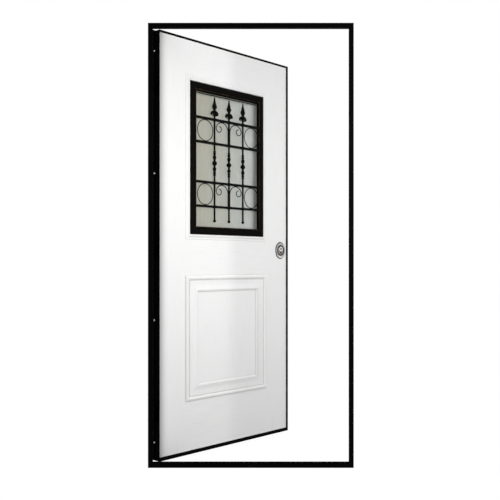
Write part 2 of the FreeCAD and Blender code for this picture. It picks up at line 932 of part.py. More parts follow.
def make_rail(name, height):
    """A flat bar from side to side of the window, pierced where the pickets pass."""
    body = new_body(name)
    bar = new_sketch(body, "XY_Plane", f"{height} - rail_height / 2")
    back = f"{GRILLE_PLANE} + rail_depth / 2"
    front = f"{GRILLE_PLANE} - rail_depth / 2"
    rectangle(bar, f"-{OPENING_WIDE} / 2", front, f"{OPENING_WIDE} / 2", back)
    for step in (-1, 0, 1):
        circle(bar, f"({step}) * {PICKET_SPACING}", GRILLE_PLANE, "picket_radius")
    pad(body, bar, "rail_height")
    finish(hang(body), name)


def bead(at, height, kind):
    """A turned bead on a bar, from below it to above it, as the corners of a profile."""
    return [
        at("knuckle_neck_radius", f"{height} - {kind}_bead_half", f"{kind}_bead_arc"),
        at("knuckle_neck_radius", f"{height} + {kind}_bead_half"),
    ]


def make_picket(name, step):
    """An upright bar with a turned knuckle in the middle, a spear on top and a ball at its foot."""
    body = new_body(name)
    turned = new_sketch(body, "XZ_Plane", f"-{GRILLE_PLANE}")
    centre = f"({step}) * {PICKET_SPACING}"

    def at(radius, height, *arc):
        return (f"{centre} + {radius}", height, *arc)

    foot_top = "sqrt(foot_radius^2 - picket_radius^2)"
    ball_top = "sqrt(knuckle_ball_radius^2 - knuckle_neck_radius^2)"
    reach = "(small_bead_up + 2 * small_bead_half)"
    beads = ("small", "mid", "big")
    below = [corner for kind in beads for corner in bead(at, f"{BAYS_Z} - {kind}_bead_up", kind)]
    above = [corner for kind in beads[::-1] for corner in bead(at, f"{BAYS_Z} + {kind}_bead_up", kind)]
    draw(
        turned,
        [
            at("0", f"{PICKET_BOTTOM} - foot_radius", "foot_radius"),
            at("foot_radius", PICKET_BOTTOM, "foot_radius"),
            at("picket_radius", f"{PICKET_BOTTOM} + {foot_top}"),
            at("picket_radius", f"{BAYS_Z} - {reach}"),
            *below,
            at("knuckle_neck_radius", f"{BAYS_Z} - {ball_top}", "knuckle_ball_radius"),
            at("knuckle_ball_radius", BAYS_Z, "knuckle_ball_radius"),
            at("knuckle_neck_radius", f"{BAYS_Z} + {ball_top}"),
            *above,
            at("picket_radius", f"{BAYS_Z} + {reach}"),
            at("picket_radius", f"{PICKET_TOP} - {SPEAR_LENGTH} * 0.6"),
            at("0", f"{PICKET_TOP} - {SPEAR_LENGTH} * 0.3"),
        ],
    )
    draw_axis(turned, (centre, PICKET_BOTTOM), (centre, PICKET_TOP))
    spin(body, turned, "Axis0")
    spear = new_sketch(body, "XZ_Plane", f"-{GRILLE_PLANE}")

    def side(way, across, down):
        out = f"({way}) * spear_half_width * {across}"
        return (f"{centre} + {out}", f"{PICKET_TOP} - {SPEAR_LENGTH} * {down}")

    right = [side(1, *place) for place in SPEAR_SIDE]
    left = [side(-1, *place) for place in SPEAR_SIDE[::-1]]
    left[-1] = (*left[-1], "spear_arc")
    draw(spear, [(centre, PICKET_TOP, "spear_arc"), *right, *left])
    pad(body, spear, "spear_thickness", both=True)
    finish(hang(body), name)


def mirrored_pair(body, feature):
    """Mirror a feature to the other side of the centre line, as a second solid."""
    mirror = body.newObject("PartDesign::Mirrored", "Mirrored")
    mirror.Originals = [feature]
    mirror.MirrorPlane = (plane_of(body, "YZ_Plane"), [""])
    body.Tip = mirror
    doc.recompute()


def make_rings(name, height):
    """A pair of plain rings, one each side, that fill a bay between two rails."""
    body = new_body(name)
    body.AllowCompound = True
    centre = f"(({PICKET_SPACING} + picket_radius + {OPENING_WIDE} / 2) / 2)"
    ring = new_sketch(body, "XY_Plane", height)
    circle(ring, f"{centre} + {RING_RADIUS} - ring_wire", GRILLE_PLANE, "ring_wire")
    draw_axis(ring, (centre, GRILLE_PLANE), (centre, f"{GRILLE_PLANE} + rail_depth"))
    mirrored_pair(body, spin(body, ring, "Axis0"))
    finish(hang(body), name)


def make_scrolls(name, height):
    """A pair of scrolls that climb the middle picket and curl in under the rail above."""
    body = new_body(name)
    body.AllowCompound = True
    wire = "scroll_wire"
    start_x = f"(picket_radius + {wire})"
    start_z = f"({height} + bay_pitch / 2 - rail_height / 2 - {wire} - scroll_big)"
    stem_z = f"({height} - bay_pitch / 2 + rail_height / 2)"
    spine = new_sketch(body, "XZ_Plane", f"-{GRILLE_PLANE}")
    big, mid, small = "scroll_big", "scroll_mid", "scroll_small"
    big_x, big_z = f"({start_x} + {big})", start_z
    first, second = SCROLL_FIRST_TURN, SCROLL_SECOND_TURN
    mid_x = f"({big_x} + ({big} - {mid}) * cos({first}deg))"
    mid_z = f"({big_z} + ({big} - {mid}) * sin({first}deg))"
    small_x = f"({mid_x} + ({mid} - {small}) * cos({second}deg))"
    small_z = f"({mid_z} + ({mid} - {small}) * sin({second}deg))"

    def on(centre_x, centre_z, radius, angle):
        return (f"{centre_x} + {radius} * cos({angle}deg)", f"{centre_z} + {radius} * sin({angle}deg)")

    draw(
        spine,
        [
            (start_x, stem_z),
            (start_x, start_z, f"-{big}"),
            (*on(big_x, big_z, big, 90), f"-{big}"),
            (*on(big_x, big_z, big, first), f"-{mid}"),
            (*on(mid_x, mid_z, mid, (first + second) / 2), f"-{mid}"),
            (*on(mid_x, mid_z, mid, second), f"-{small}"),
            (*on(small_x, small_z, small, second - 90), f"-{small}"),
            on(small_x, small_z, small, SCROLL_END),
        ],
        closed=False,
    )
    section = new_sketch(body, "XY_Plane", stem_z)
    circle(section, start_x, GRILLE_PLANE, wire)
    doc.recompute()
    feature = body.newObject("PartDesign::AdditivePipe", "Pipe")
    feature.Profile = section
    feature.Spine = (spine, [f"Edge{index + 1}" for index in range(spine.GeometryCount)])
    doc.recompute()
    mirrored_pair(body, feature)
    finish(hang(body), name)


# Lock

def ellipse_plate(body, lift, wide, tall, length, backwards=False):
    plate = new_sketch(body, "XZ_Plane", lift)
    centre = Vector(value(KEY_X), value("lock_height"), 0)
    top = Vector(centre.x, centre.y + value(tall) / 2, 0)
    side = Vector(centre.x + value(wide) / 2, centre.y, 0)
    line = plate.addGeometry(Part.Ellipse(top, side, centre))
    plate.exposeInternalGeometry(line)
    fix(
        plate,
        [
            Sketcher.Constraint("DistanceX", line, 3, centre.x),
            Sketcher.Constraint("DistanceY", line, 3, centre.y),
            Sketcher.Constraint("Vertical", line + 1),
            Sketcher.Constraint("Distance", line + 1, value(tall)),
            Sketcher.Constraint("Distance", line + 2, value(wide)),
        ],
        [KEY_X, "lock_height", None, tall, wide],
    )
    return pad(body, plate, length, backwards=backwards)


def make_escutcheon(name, face, way):
    """An oval lock plate with a bevelled rim, a ring groove and a hole for the key."""
    body = new_body(name)
    outward = way < 0
    lift = f"-({face})"
    plate = ellipse_plate(body, lift, "escutcheon_width", "escutcheon_height", "escutcheon_rise", not outward)
    rim = [
        f"Edge{index + 1}"
        for index, edge in enumerate(plate.Shape.Edges)
        if abs(edge.BoundBox.YMin - value(f"({face}) + ({way}) * escutcheon_rise")) < 0.01
        and edge.BoundBox.YLength < 0.01
    ]
    bevel = body.newObject("PartDesign::Chamfer", "Chamfer")
    bevel.Base = (plate, rim)
    bind(bevel, Size="escutcheon_bevel")
    doc.recompute()
    top = f"-({face}) - ({way}) * escutcheon_rise"
    groove = new_sketch(body, "XZ_Plane", top)
    circle(groove, KEY_X, "lock_height", "boss_groove_radius")
    circle(groove, KEY_X, "lock_height", "boss_radius")
    pocket(body, groove, "boss_groove_depth", backwards=not outward)
    seat = new_sketch(body, "XZ_Plane", lift)
    cylinder_slot(seat)
    pocket(body, seat, "escutcheon_rise - boss_groove_depth", backwards=outward)
    key = new_sketch(body, "XZ_Plane", top)
    circle(key, KEY_X, KEY_Z, "cylinder_radius - cylinder_play")
    pocket(body, key, "escutcheon_rise", backwards=not outward)
    finish(hang(body), name)


def make_mortise_lock():
    """The lock case with its faceplate, bored for three bolts and for the cylinder."""
    body = new_body("mortise_lock")
    case = new_sketch(body, "XZ_Plane", "-leaf_thickness / 2")
    rectangle(
        case,
        f"{LOCK_EDGE} - case_depth",
        "lock_height - case_height / 2",
        f"{LOCK_EDGE} - faceplate_sheet / 2",
        "lock_height + case_height / 2",
    )
    pad(body, case, "case_thickness", both=True)
    plate = new_sketch(body, "XZ_Plane", "-leaf_thickness / 2")
    rectangle(
        plate,
        f"{LOCK_EDGE} - faceplate_sheet",
        "lock_height - faceplate_height / 2",
        LOCK_EDGE,
        "lock_height + faceplate_height / 2",
    )
    pad(body, plate, "faceplate_width", both=True)
    bolts = new_sketch(body, "YZ_Plane", LOCK_EDGE)
    for height in lock_bolt_heights():
        circle(bolts, "leaf_thickness / 2", height, "bolt_radius")
    pocket(body, bolts, "bolt_length + bolt_inset")
    barrel = new_sketch(body, "XZ_Plane")
    cylinder_slot(barrel)
    pocket(body, barrel, "leaf_thickness")
    finish(hang(body), "mortise_lock")


def make_lock_bolts():
    body = new_body("lock_bolts")
    body.AllowCompound = True
    bolts = new_sketch(body, "YZ_Plane", f"{LOCK_EDGE} - bolt_inset")
    for height in lock_bolt_heights():
        circle(bolts, "leaf_thickness / 2", height, "bolt_radius")
    pad(body, bolts, "bolt_length", backwards=True)
    finish(hang(body), "lock_bolts")


def make_lock_cylinder():
    """The lock cylinder from face to face, bored for the key plug at the outside."""
    body = new_body("lock_cylinder")
    barrel = new_sketch(body, "XZ_Plane", "escutcheon_rise - boss_groove_depth")
    cylinder_slot(barrel, "0")
    pad(body, barrel, "leaf_thickness + 2 * (escutcheon_rise - boss_groove_depth)", backwards=True)
    bore = new_sketch(body, "XZ_Plane", "escutcheon_rise - boss_groove_depth")
    circle(bore, KEY_X, KEY_Z, "plug_radius + plug_clearance")
    pocket(body, bore, "plug_length + plug_clearance")
    finish(hang(body), "lock_cylinder")


def make_key_plug():
    body = new_body("key_plug")
    plug = new_sketch(body, "XZ_Plane", "escutcheon_rise - boss_groove_depth")
    circle(plug, KEY_X, KEY_Z, "plug_radius")
    pad(body, plug, "plug_length", backwards=True)
    keyway = new_sketch(body, "XZ_Plane", "escutcheon_rise - boss_groove_depth")
    rectangle(
        keyway,
        f"{KEY_X} - keyway_width / 2",
        f"{KEY_Z} - keyway_height / 2",
        f"{KEY_X} + keyway_width / 2",
        f"{KEY_Z} + keyway_height / 2",
    )
    pocket(body, keyway, "keyway_depth")
    finish(hang(body), "key_plug")



make_hinge_jamb()
make_lock_jamb()
make_cross_member("frame_head", "frame_height", "frame_height - head_web", "frame_height - head_face", -1)
make_cross_member("threshold", "0", "sill_web", "sill_face", 1)
make_gasket()
make_strike_plate()
for place, height in HINGES.items():
    make_frame_knuckle(f"frame_knuckle_{place}", height)
    make_leaf_knuckle(f"leaf_knuckle_{place}", height)
make_outer_skin()
make_inner_skin()
make_leaf_core()
make_edge_upright("edge_strip_hinge", HINGE_EDGE, 1, "edge_sheet")
make_edge_upright("edge_strip_lock", LOCK_EDGE, -1, "lock_lip", window=True)
make_edge_rail("edge_strip_top", LEAF_TOP, -1, "top_lip")
make_edge_rail("edge_strip_bottom", LEAF_BOTTOM, 1, "bottom_lip")
for place, height in DOG_BOLTS.items():
    make_dog_bolt(f"dog_bolt_{place}", height)
make_glass()
make_window_frame("window_frame_outside", "0", -1, "glass_setback")
make_window_frame("window_frame_inside", "leaf_thickness", 1, "glass_setback + glass_thickness")
for number, (half, side) in enumerate(((1, 1), (1, -1), (-1, 1), (-1, -1)), start=1):
    make_rail(f"grille_rail_{number}", f"{BAYS_Z} + ({half}) * {BAY_OFFSET} / 2 + ({side}) * bay_pitch / 2")
for place, step in (("left", -1), ("middle", 0), ("right", 1)):
    make_picket(f"picket_{place}", step)
for place, half in (("upper", 1), ("lower", -1)):
    make_rings(f"{place}_rings", f"{BAYS_Z} + ({half}) * {BAY_OFFSET} / 2")
    make_scrolls(f"{place}_scrolls", f"{BAYS_Z} + ({half}) * {BAY_OFFSET} / 2")
make_escutcheon("escutcheon_outside", "0", -1)
make_escutcheon("escutcheon_inside", "leaf_thickness", 1)
make_mortise_lock()
make_lock_bolts()
make_lock_cylinder()
make_key_plug()


def check_and_export():
    doc.recompute()
    for thing in doc.Objects:
        if "Invalid" in thing.State or "Error" in thing.State:
            raise RuntimeError(f"{thing.Label} in {[parent.Name for parent in thing.InList]} failed to build")
    os.makedirs("parts", exist_ok=True)
    for part in parts:
        shape = part.Shape
        if shape.isNull() or not shape.isValid():
            raise RuntimeError(f"{part.Label} has no valid shape")
        shape.exportStep(f"parts/{part.Label}.step")
        box = shape.BoundBox
        sides = (box.XLength, box.YLength, box.ZLength)
        print(part.Label, len(shape.Solids), "solids", [round(side, 1) for side in sides])


check_and_export()
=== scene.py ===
import json
import math

import bmesh
import bpy
from bpy.props import FloatProperty, FloatVectorProperty, PointerProperty
from mathutils import Matrix, Vector


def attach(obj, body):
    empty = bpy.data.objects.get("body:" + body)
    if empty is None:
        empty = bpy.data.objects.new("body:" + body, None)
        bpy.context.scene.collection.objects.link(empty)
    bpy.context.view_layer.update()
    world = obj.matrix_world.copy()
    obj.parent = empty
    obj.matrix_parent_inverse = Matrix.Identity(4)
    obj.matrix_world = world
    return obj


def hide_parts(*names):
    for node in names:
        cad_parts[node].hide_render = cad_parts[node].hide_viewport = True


bl_info = {
    "name": "Security Door",
    "version": (1, 0, 0),
    "blender": (4, 5, 0),
    "location": "3D View > Sidebar > Security Door",
    "description": "Finishes, forged details, light and camera for a steel door with an iron grille",
    "category": "Object",
}

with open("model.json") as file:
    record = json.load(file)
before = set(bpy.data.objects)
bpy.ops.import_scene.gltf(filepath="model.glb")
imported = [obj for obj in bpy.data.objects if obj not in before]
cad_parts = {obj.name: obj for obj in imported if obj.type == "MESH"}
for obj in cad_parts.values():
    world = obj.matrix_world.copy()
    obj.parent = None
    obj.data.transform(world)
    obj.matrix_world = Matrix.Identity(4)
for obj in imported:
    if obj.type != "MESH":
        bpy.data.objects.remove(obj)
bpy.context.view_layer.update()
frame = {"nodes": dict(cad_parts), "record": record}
SWING = next(joint for joint in frame["record"]["behaviour"]["joints"] if joint["name"] == "leaf_swing")

MM = 0.001

# The leaf stands open. Its own frame has X from hinge to lock with zero on the window's centre
# line, Y from the outside face inwards and Z up, and the hinge pins stand here in it.
PINS = Vector((-0.478, 0.053, 0))
OPEN_ANGLE = math.radians(-SWING["range_deg"][0])
LEAF = (
    Matrix.Translation((SWING["pos_m"][0], SWING["pos_m"][1], 0))
    @ Matrix.Rotation(OPEN_ANGLE, 4, "Z")
    @ Matrix.Translation(-PINS)
)
# Turns a shape made about the Z axis so that its axis points out of the leaf's outside face
FACING = Matrix.Rotation(math.radians(90), 4, "X")
# The outside face, and the turn that takes a place on it to the inside face
LEAF_THICKNESS = 44 * MM
OUTSIDE = Matrix.Identity(4)
INSIDE = Matrix.Translation((0, LEAF_THICKNESS, 0)) @ Matrix.Rotation(math.pi, 4, "Z")

# Places in the leaf's own frame, in millimetres. The grille's bars stand in front of the leaf.
GRILLE_DEPTH = -8.6
PICKETS = (-106.7, 0, 106.7)
SPEAR_TIP = 1856.5
RAILS = (1739, 1614, 1409, 1284)
# The window's opening and the lower panel: width, height and the height of the middle
WINDOW = (470, 701, 1528)
PANEL = (604, 638, 607)
# How deep the glass lies behind the outside and the inside face
GLASS_DEPTHS = (5, 15)
# The lock plates' middle, and how far the key hole is above it
LOCK = (425, 1062.5)
KEY_LIFT = 8.5
# The face and the centre line of the lock's faceplate, and of the strike plate in the frame
FACEPLATE = (494, 22)
STRIKE_PLATE = (489, 15)
SCREW_REACH = 110
# The dog bolts' ends on the hinge edge, and their heights
DOG_BOLT_END = (-483, 29)
DOG_BOLTS = (109, 709.3, 1429.7, 2030)
# The rear lip of the hinge edge, and the middle and length of the seal on it
HINGE_LIP = (-472.2, 41.1)
HINGE_SEAL = (1078.5, 2117)


def linear(hex_colour):
    """An sRGB hex colour as linear red, green, blue and alpha."""
    channels = [int(hex_colour[start : start + 2], 16) / 255 for start in (1, 3, 5)]
    curved = [c / 12.92 if c <= 0.04045 else ((c + 0.055) / 1.055) ** 2.4 for c in channels]
    return (*curved, 1.0)


def add_node(tree, kind, inputs=None, stops=None, **settings):
    """Add a node with its settings. An input takes a value, or another node's output as a link."""
    node = tree.nodes.new(kind)
    for name, setting in settings.items():
        setattr(node, name, setting)
    for name, value in (inputs or {}).items():
        if isinstance(value, bpy.types.NodeSocket):
            tree.links.new(value, node.inputs[name])
        else:
            node.inputs[name].default_value = value
    if stops:
        while len(node.color_ramp.elements) < len(stops):
            node.color_ramp.elements.new(0.5)
        for element, (position, colour) in zip(node.color_ramp.elements, stops):
            element.position = position
            element.color = linear(colour)
    return node


def new_material(name, surface):
    """A material with a Principled surface, its tree and its surface node."""
    material = bpy.data.materials.new(name)
    material.use_nodes = True
    tree = material.node_tree
    tree.nodes.clear()
    shader = add_node(tree, "ShaderNodeBsdfPrincipled", surface)
    add_node(tree, "ShaderNodeOutputMaterial", {"Surface": shader.outputs["BSDF"]})
    return material, tree, shader


def leaf_place(tree):
    """Object coordinates in the leaf's own frame, turned and then moved."""
    place = add_node(tree, "ShaderNodeTexCoord").outputs["Object"]
    moved = add_node(
        tree,
        "ShaderNodeMapping",
        {"Vector": place, "Rotation": (0, 0, -OPEN_ANGLE), "Location": LEAF.inverted().translation},
    )
    return moved.outputs["Vector"]


# Finishes


def powder_coated_steel():
    """Polyester powder baked on steel. It gives a deep, soft black with a fine orange peel."""
    material, tree, shader = new_material(
        "powder_coated_steel",
        {"Roughness": 0.6, "IOR": 1.5, "Specular IOR Level": 0.02},
    )
    place = add_node(tree, "ShaderNodeTexCoord").outputs["Object"]
    cloud = add_node(tree, "ShaderNodeTexNoise", {"Vector": place, "Scale": 1 / (160 * MM), "Detail": 3.0})
    colour = add_node(
        tree,
        "ShaderNodeValToRGB",
        {"Fac": cloud.outputs["Fac"]},
        stops=[(0.35, "#010101"), (0.65, "#030303")],
    )
    tree.links.new(colour.outputs["Color"], shader.inputs["Base Color"])
    peel = add_node(tree, "ShaderNodeTexNoise", {"Vector": place, "Scale": 1 / (1.6 * MM), "Detail": 2.0})
    bump = add_node(
        tree,
        "ShaderNodeBump",
        {"Height": peel.outputs["Fac"], "Distance": 0.03 * MM, "Strength": 0.5},
    )
    tree.links.new(bump.outputs["Normal"], shader.inputs["Normal"])
    return material


def film_faced_steel():
    """Steel sheet faced with white film, embossed with wood grain that runs upright on the
    stiles and panel and level on the rails between them. The grain shows as faint streaks in the
    light. Real fibres are finer and are drawn 4 mm wide here. Painted shade greys the quirks of
    the mouldings, and a soft painted shade lies along the hinge edge and, fainter, the lock edge."""
    material, tree, shader = new_material(
        "film_faced_steel",
        {"Roughness": 0.55, "IOR": 1.5, "Specular IOR Level": 0.2},
    )
    place = leaf_place(tree)
    parts = add_node(tree, "ShaderNodeSeparateXYZ", {"Vector": place})
    # Rails are the level bands above, between and below the window and the panel. These four
    # heights are shares of 2.2 m.
    panel_foot, panel_head, window_foot, window_head = (0.13, 0.42, 0.505, 0.884)
    step = 0.001
    height = add_node(
        tree,
        "ShaderNodeMapRange",
        {"Value": parts.outputs["Z"], "From Min": 0.0, "From Max": 2.2},
    )
    bands = add_node(
        tree,
        "ShaderNodeValToRGB",
        {"Fac": height.outputs["Result"]},
        stops=[
            (panel_foot, "#ffffff"),
            (panel_foot + step, "#000000"),
            (panel_head, "#000000"),
            (panel_head + step, "#ffffff"),
            (window_foot, "#ffffff"),
            (window_foot + step, "#000000"),
            (window_head, "#000000"),
            (window_head + step, "#ffffff"),
        ],
    )
    stile = 0.315
    aside = add_node(tree, "ShaderNodeMath", {0: parts.outputs["X"]}, operation="ABSOLUTE")
    between = add_node(tree, "ShaderNodeMath", {0: aside.outputs["Value"], 1: stile}, operation="LESS_THAN")
    rail = add_node(
        tree,
        "ShaderNodeMath",
        {0: between.outputs["Value"], 1: bands.outputs["Color"]},
        operation="MULTIPLY",
    )
    # Fibres are 35 times as long as they are wide
    upright = add_node(tree, "ShaderNodeMapping", {"Vector": place, "Scale": (1, 1, 1 / 35)})
    level = add_node(tree, "ShaderNodeMapping", {"Vector": place, "Scale": (1 / 35, 1, 1)})
    grain = add_node(
        tree,
        "ShaderNodeMix",
        {0: rail.outputs["Value"], 4: upright.outputs["Vector"], 5: level.outputs["Vector"]},
        data_type="VECTOR",
    )
    fibres = add_node(
        tree,
        "ShaderNodeTexNoise",
        {"Vector": grain.outputs[1], "Scale": 1 / (4 * MM), "Detail": 5.0, "Roughness": 0.6},
    )
    streak = add_node(
        tree,
        "ShaderNodeValToRGB",
        {"Fac": fibres.outputs["Fac"]},
        stops=[(0.36, "#eceeef"), (0.52, "#f2f3f3")],
    )
    # Painted shade: occlusion darkens the colour in the mouldings' quirks and corners
    crevice_occlusion = add_node(tree, "ShaderNodeAmbientOcclusion", {"Distance": 8 * MM}, samples=8)
    shadows = add_node(
        tree,
        "ShaderNodeValToRGB",
        {"Fac": crevice_occlusion.outputs["AO"]},
        stops=[(0.45, "#b4b2af"), (0.75, "#efeeed"), (0.92, "#ffffff")],
    )
    crevice_shaded = add_node(
        tree,
        "ShaderNodeMix",
        {0: 1.0, 6: streak.outputs["Color"], 7: shadows.outputs["Color"]},
        data_type="RGBA",
        blend_type="MULTIPLY",
    )
    # Painted shade: grey along the hinge edge, and fainter along the lock edge
    hinge_edge = -0.472
    lock_edge = 0.478
    across = add_node(
        tree,
        "ShaderNodeMapRange",
        {"Value": parts.outputs["X"], "From Min": hinge_edge, "From Max": lock_edge},
    )
    edges = add_node(
        tree,
        "ShaderNodeValToRGB",
        {"Fac": across.outputs["Result"]},
        stops=[
            (0.0, "#b7b7b7"),
            (0.01, "#c2c2c2"),
            (0.022, "#e0e0e0"),
            (0.038, "#f5f5f5"),
            (0.06, "#ffffff"),
            (0.97, "#ffffff"),
            (1.0, "#f7f7f7"),
        ],
    )
    shaded = add_node(
        tree,
        "ShaderNodeMix",
        {0: 1.0, 6: crevice_shaded.outputs[2], 7: edges.outputs["Color"]},
        data_type="RGBA",
        blend_type="MULTIPLY",
    )
    tree.links.new(shaded.outputs[2], shader.inputs["Base Color"])
    bump = add_node(
        tree,
        "ShaderNodeBump",
        {"Height": fibres.outputs["Fac"], "Distance": 0.05 * MM, "Strength": 0.25},
    )
    tree.links.new(bump.outputs["Normal"], shader.inputs["Normal"])
    return material


def bronzed_enamel():
    """Black enamel brushed over a bronze undercoat. Along the edges of the glass opening the coat is
    worn, where the undercoat shows as broken brown streaks, and these also carry a painted
    highlight of the edge. Real brush marks are finer and are drawn 9 mm wide here."""
    material, tree, shader = new_material(
        "bronzed_enamel",
        {"Roughness": 0.5, "IOR": 1.5, "Specular IOR Level": 0.03},
    )
    place = leaf_place(tree)
    tall = add_node(tree, "ShaderNodeMapping", {"Vector": place, "Scale": (1, 1, 1 / 4)})
    streaks = add_node(
        tree,
        "ShaderNodeTexNoise",
        {"Vector": tall.outputs["Vector"], "Scale": 1 / (9 * MM), "Detail": 5.0, "Roughness": 0.7},
    )
    # How far a point is from the edge of the opening, sideways or upwards, whichever is more
    middle = (0, 0, WINDOW[2] * MM)
    centred = add_node(tree, "ShaderNodeVectorMath", {0: place, 1: middle}, operation="SUBTRACT")
    folded = add_node(
        tree,
        "ShaderNodeVectorMath",
        {0: centred.outputs["Vector"]},
        operation="ABSOLUTE",
    )
    half = (WINDOW[0] / 2 * MM, 0, WINDOW[1] / 2 * MM)
    beyond = add_node(
        tree,
        "ShaderNodeVectorMath",
        {0: folded.outputs["Vector"], 1: half},
        operation="SUBTRACT",
    )
    sides = add_node(tree, "ShaderNodeSeparateXYZ", {"Vector": beyond.outputs["Vector"]})
    reach = add_node(
        tree,
        "ShaderNodeMath",
        {0: sides.outputs["X"], 1: sides.outputs["Z"]},
        operation="MAXIMUM",
    )
    # Worn coat and painted highlight: the brown streaks are strongest within 4 mm of the opening's edge and
    # fade out by 13 mm
    edge = add_node(
        tree,
        "ShaderNodeMapRange",
        {"Value": reach.outputs["Value"], "From Min": 13 * MM, "From Max": 4 * MM, "To Max": 0.28},
    )
    front = add_node(
        tree,
        "ShaderNodeMath",
        {0: reach.outputs["Value"], 1: 0.7 * MM},
        operation="GREATER_THAN",
    )
    share = add_node(
        tree,
        "ShaderNodeMath",
        {0: edge.outputs["Result"], 1: front.outputs["Value"], 2: streaks.outputs["Fac"]},
        operation="MULTIPLY_ADD",
    )
    colour = add_node(
        tree,
        "ShaderNodeValToRGB",
        {"Fac": share.outputs["Value"]},
        stops=[(0.5, "#020201"), (0.7, "#070503"), (0.82, "#2e231a"), (0.95, "#433528")],
    )
    tree.links.new(colour.outputs["Color"], shader.inputs["Base Color"])
    bump = add_node(
        tree,
        "ShaderNodeBump",
        {"Height": streaks.outputs["Fac"], "Distance": 0.15 * MM, "Strength": 0.5},
    )
    tree.links.new(bump.outputs["Normal"], shader.inputs["Normal"])
    return material


def forged_iron():
    """Iron forged by hand and lacquered black. Hammer marks about 8 mm across catch the light."""
    material, tree, shader = new_material(
        "forged_iron",
        {"Roughness": 0.4, "IOR": 1.5, "Specular IOR Level": 0.04},
    )
    place = add_node(tree, "ShaderNodeTexCoord").outputs["Object"]
    scale = add_node(tree, "ShaderNodeTexNoise", {"Vector": place, "Scale": 1 / (25 * MM), "Detail": 5.0})
    colour = add_node(
        tree,
        "ShaderNodeValToRGB",
        {"Fac": scale.outputs["Fac"]},
        stops=[(0.4, "#020202"), (0.62, "#050404"), (0.75, "#100d0b")],
    )
    tree.links.new(colour.outputs["Color"], shader.inputs["Base Color"])
    hammered = add_node(
        tree,
        "ShaderNodeTexVoronoi",
        {"Vector": place, "Scale": 1 / (8 * MM)},
        feature="SMOOTH_F1",
    )
    bump = add_node(
        tree,
        "ShaderNodeBump",
        {"Height": hammered.outputs["Distance"], "Distance": 0.8 * MM, "Strength": 0.6},
    )
    tree.links.new(bump.outputs["Normal"], shader.inputs["Normal"])
    return material


def rolled_glass():
    """Milky glass rolled with an upright ripple about 12 mm wide, so that only soft shapes show
    through it. Most of its light comes from behind, and its colour paints that light: warm and
    dim towards the hinges, and cooler and brighter towards the lock."""
    material, tree, shader = new_material(
        "rolled_glass",
        {"Roughness": 0.5, "IOR": 1.5, "Specular IOR Level": 0.3, "Transmission Weight": 0.85},
    )
    place = leaf_place(tree)
    spread = add_node(tree, "ShaderNodeSeparateXYZ", {"Vector": place})
    cloud = add_node(tree, "ShaderNodeTexNoise", {"Vector": place, "Scale": 1 / (130 * MM), "Detail": 2.0})
    tall = add_node(tree, "ShaderNodeMapping", {"Vector": place, "Scale": (1, 1, 1 / 6)})
    ripple = add_node(
        tree,
        "ShaderNodeTexNoise",
        {"Vector": tall.outputs["Vector"], "Scale": 1 / (12 * MM), "Detail": 5.0, "Distortion": 0.6},
    )
    # Painted light from behind: dim and warm towards the hinges, bright and cool towards the lock
    half = WINDOW[0] / 2 * MM
    along = add_node(
        tree,
        "ShaderNodeMapRange",
        {"Value": spread.outputs["X"], "From Min": -half, "From Max": half, "To Min": -0.05, "To Max": 0.5},
    )
    clouded = add_node(
        tree,
        "ShaderNodeMath",
        {0: cloud.outputs["Fac"], 1: 0.3, 2: along.outputs["Result"]},
        operation="MULTIPLY_ADD",
    )
    rippled = add_node(
        tree,
        "ShaderNodeMath",
        {0: ripple.outputs["Fac"], 1: 0.55, 2: clouded.outputs["Value"]},
        operation="MULTIPLY_ADD",
    )
    colour = add_node(
        tree,
        "ShaderNodeValToRGB",
        {"Fac": rippled.outputs["Value"]},
        stops=[(0.2, "#b3af9f"), (0.5, "#bcbcb0"), (0.8, "#cbcfca"), (1.0, "#dee2de")],
    )
    tree.links.new(colour.outputs["Color"], shader.inputs["Base Color"])
    bump = add_node(
        tree,
        "ShaderNodeBump",
        {"Height": ripple.outputs["Fac"], "Distance": 0.6 * MM, "Strength": 0.5},
    )
    tree.links.new(bump.outputs["Normal"], shader.inputs["Normal"])
    return material


def epdm_rubber():
    """Extruded EPDM rubber. It is matt and near black, with a faint pale bloom."""
    material, tree, shader = new_material(
        "epdm_rubber",
        {"Roughness": 0.8, "IOR": 1.5, "Specular IOR Level": 0.08},
    )
    place = add_node(tree, "ShaderNodeTexCoord").outputs["Object"]
    bloom = add_node(tree, "ShaderNodeTexNoise", {"Vector": place, "Scale": 1 / (35 * MM), "Detail": 5.0})
    colour = add_node(
        tree,
        "ShaderNodeValToRGB",
        {"Fac": bloom.outputs["Fac"]},
        stops=[(0.42, "#030303"), (0.7, "#08080a")],
    )
    tree.links.new(colour.outputs["Color"], shader.inputs["Base Color"])
    return material


def zinc_plated_steel():
    """Turned steel with zinc plating, passivated to a pale, half dull skin. Fine lathe and brush
    lines break up its gleam. Real lines are finer and are drawn 0.8 mm wide here."""
    material, tree, shader = new_material(
        "zinc_plated_steel",
        {"Metallic": 0.5, "Roughness": 0.4},
    )
    place = leaf_place(tree)
    long = add_node(tree, "ShaderNodeMapping", {"Vector": place, "Scale": (1 / 10, 1, 1)})
    lines = add_node(
        tree,
        "ShaderNodeTexNoise",
        {"Vector": long.outputs["Vector"], "Scale": 1 / (0.8 * MM), "Detail": 4.0},
    )
    colour = add_node(
        tree,
        "ShaderNodeValToRGB",
        {"Fac": lines.outputs["Fac"]},
        stops=[(0.3, "#d8d9db"), (0.7, "#f2f3f3")],
    )
    tree.links.new(colour.outputs["Color"], shader.inputs["Base Color"])
    bump = add_node(
        tree,
        "ShaderNodeBump",
        {"Height": lines.outputs["Fac"], "Distance": 0.02 * MM, "Strength": 0.4},
    )
    tree.links.new(bump.outputs["Normal"], shader.inputs["Normal"])
    return material


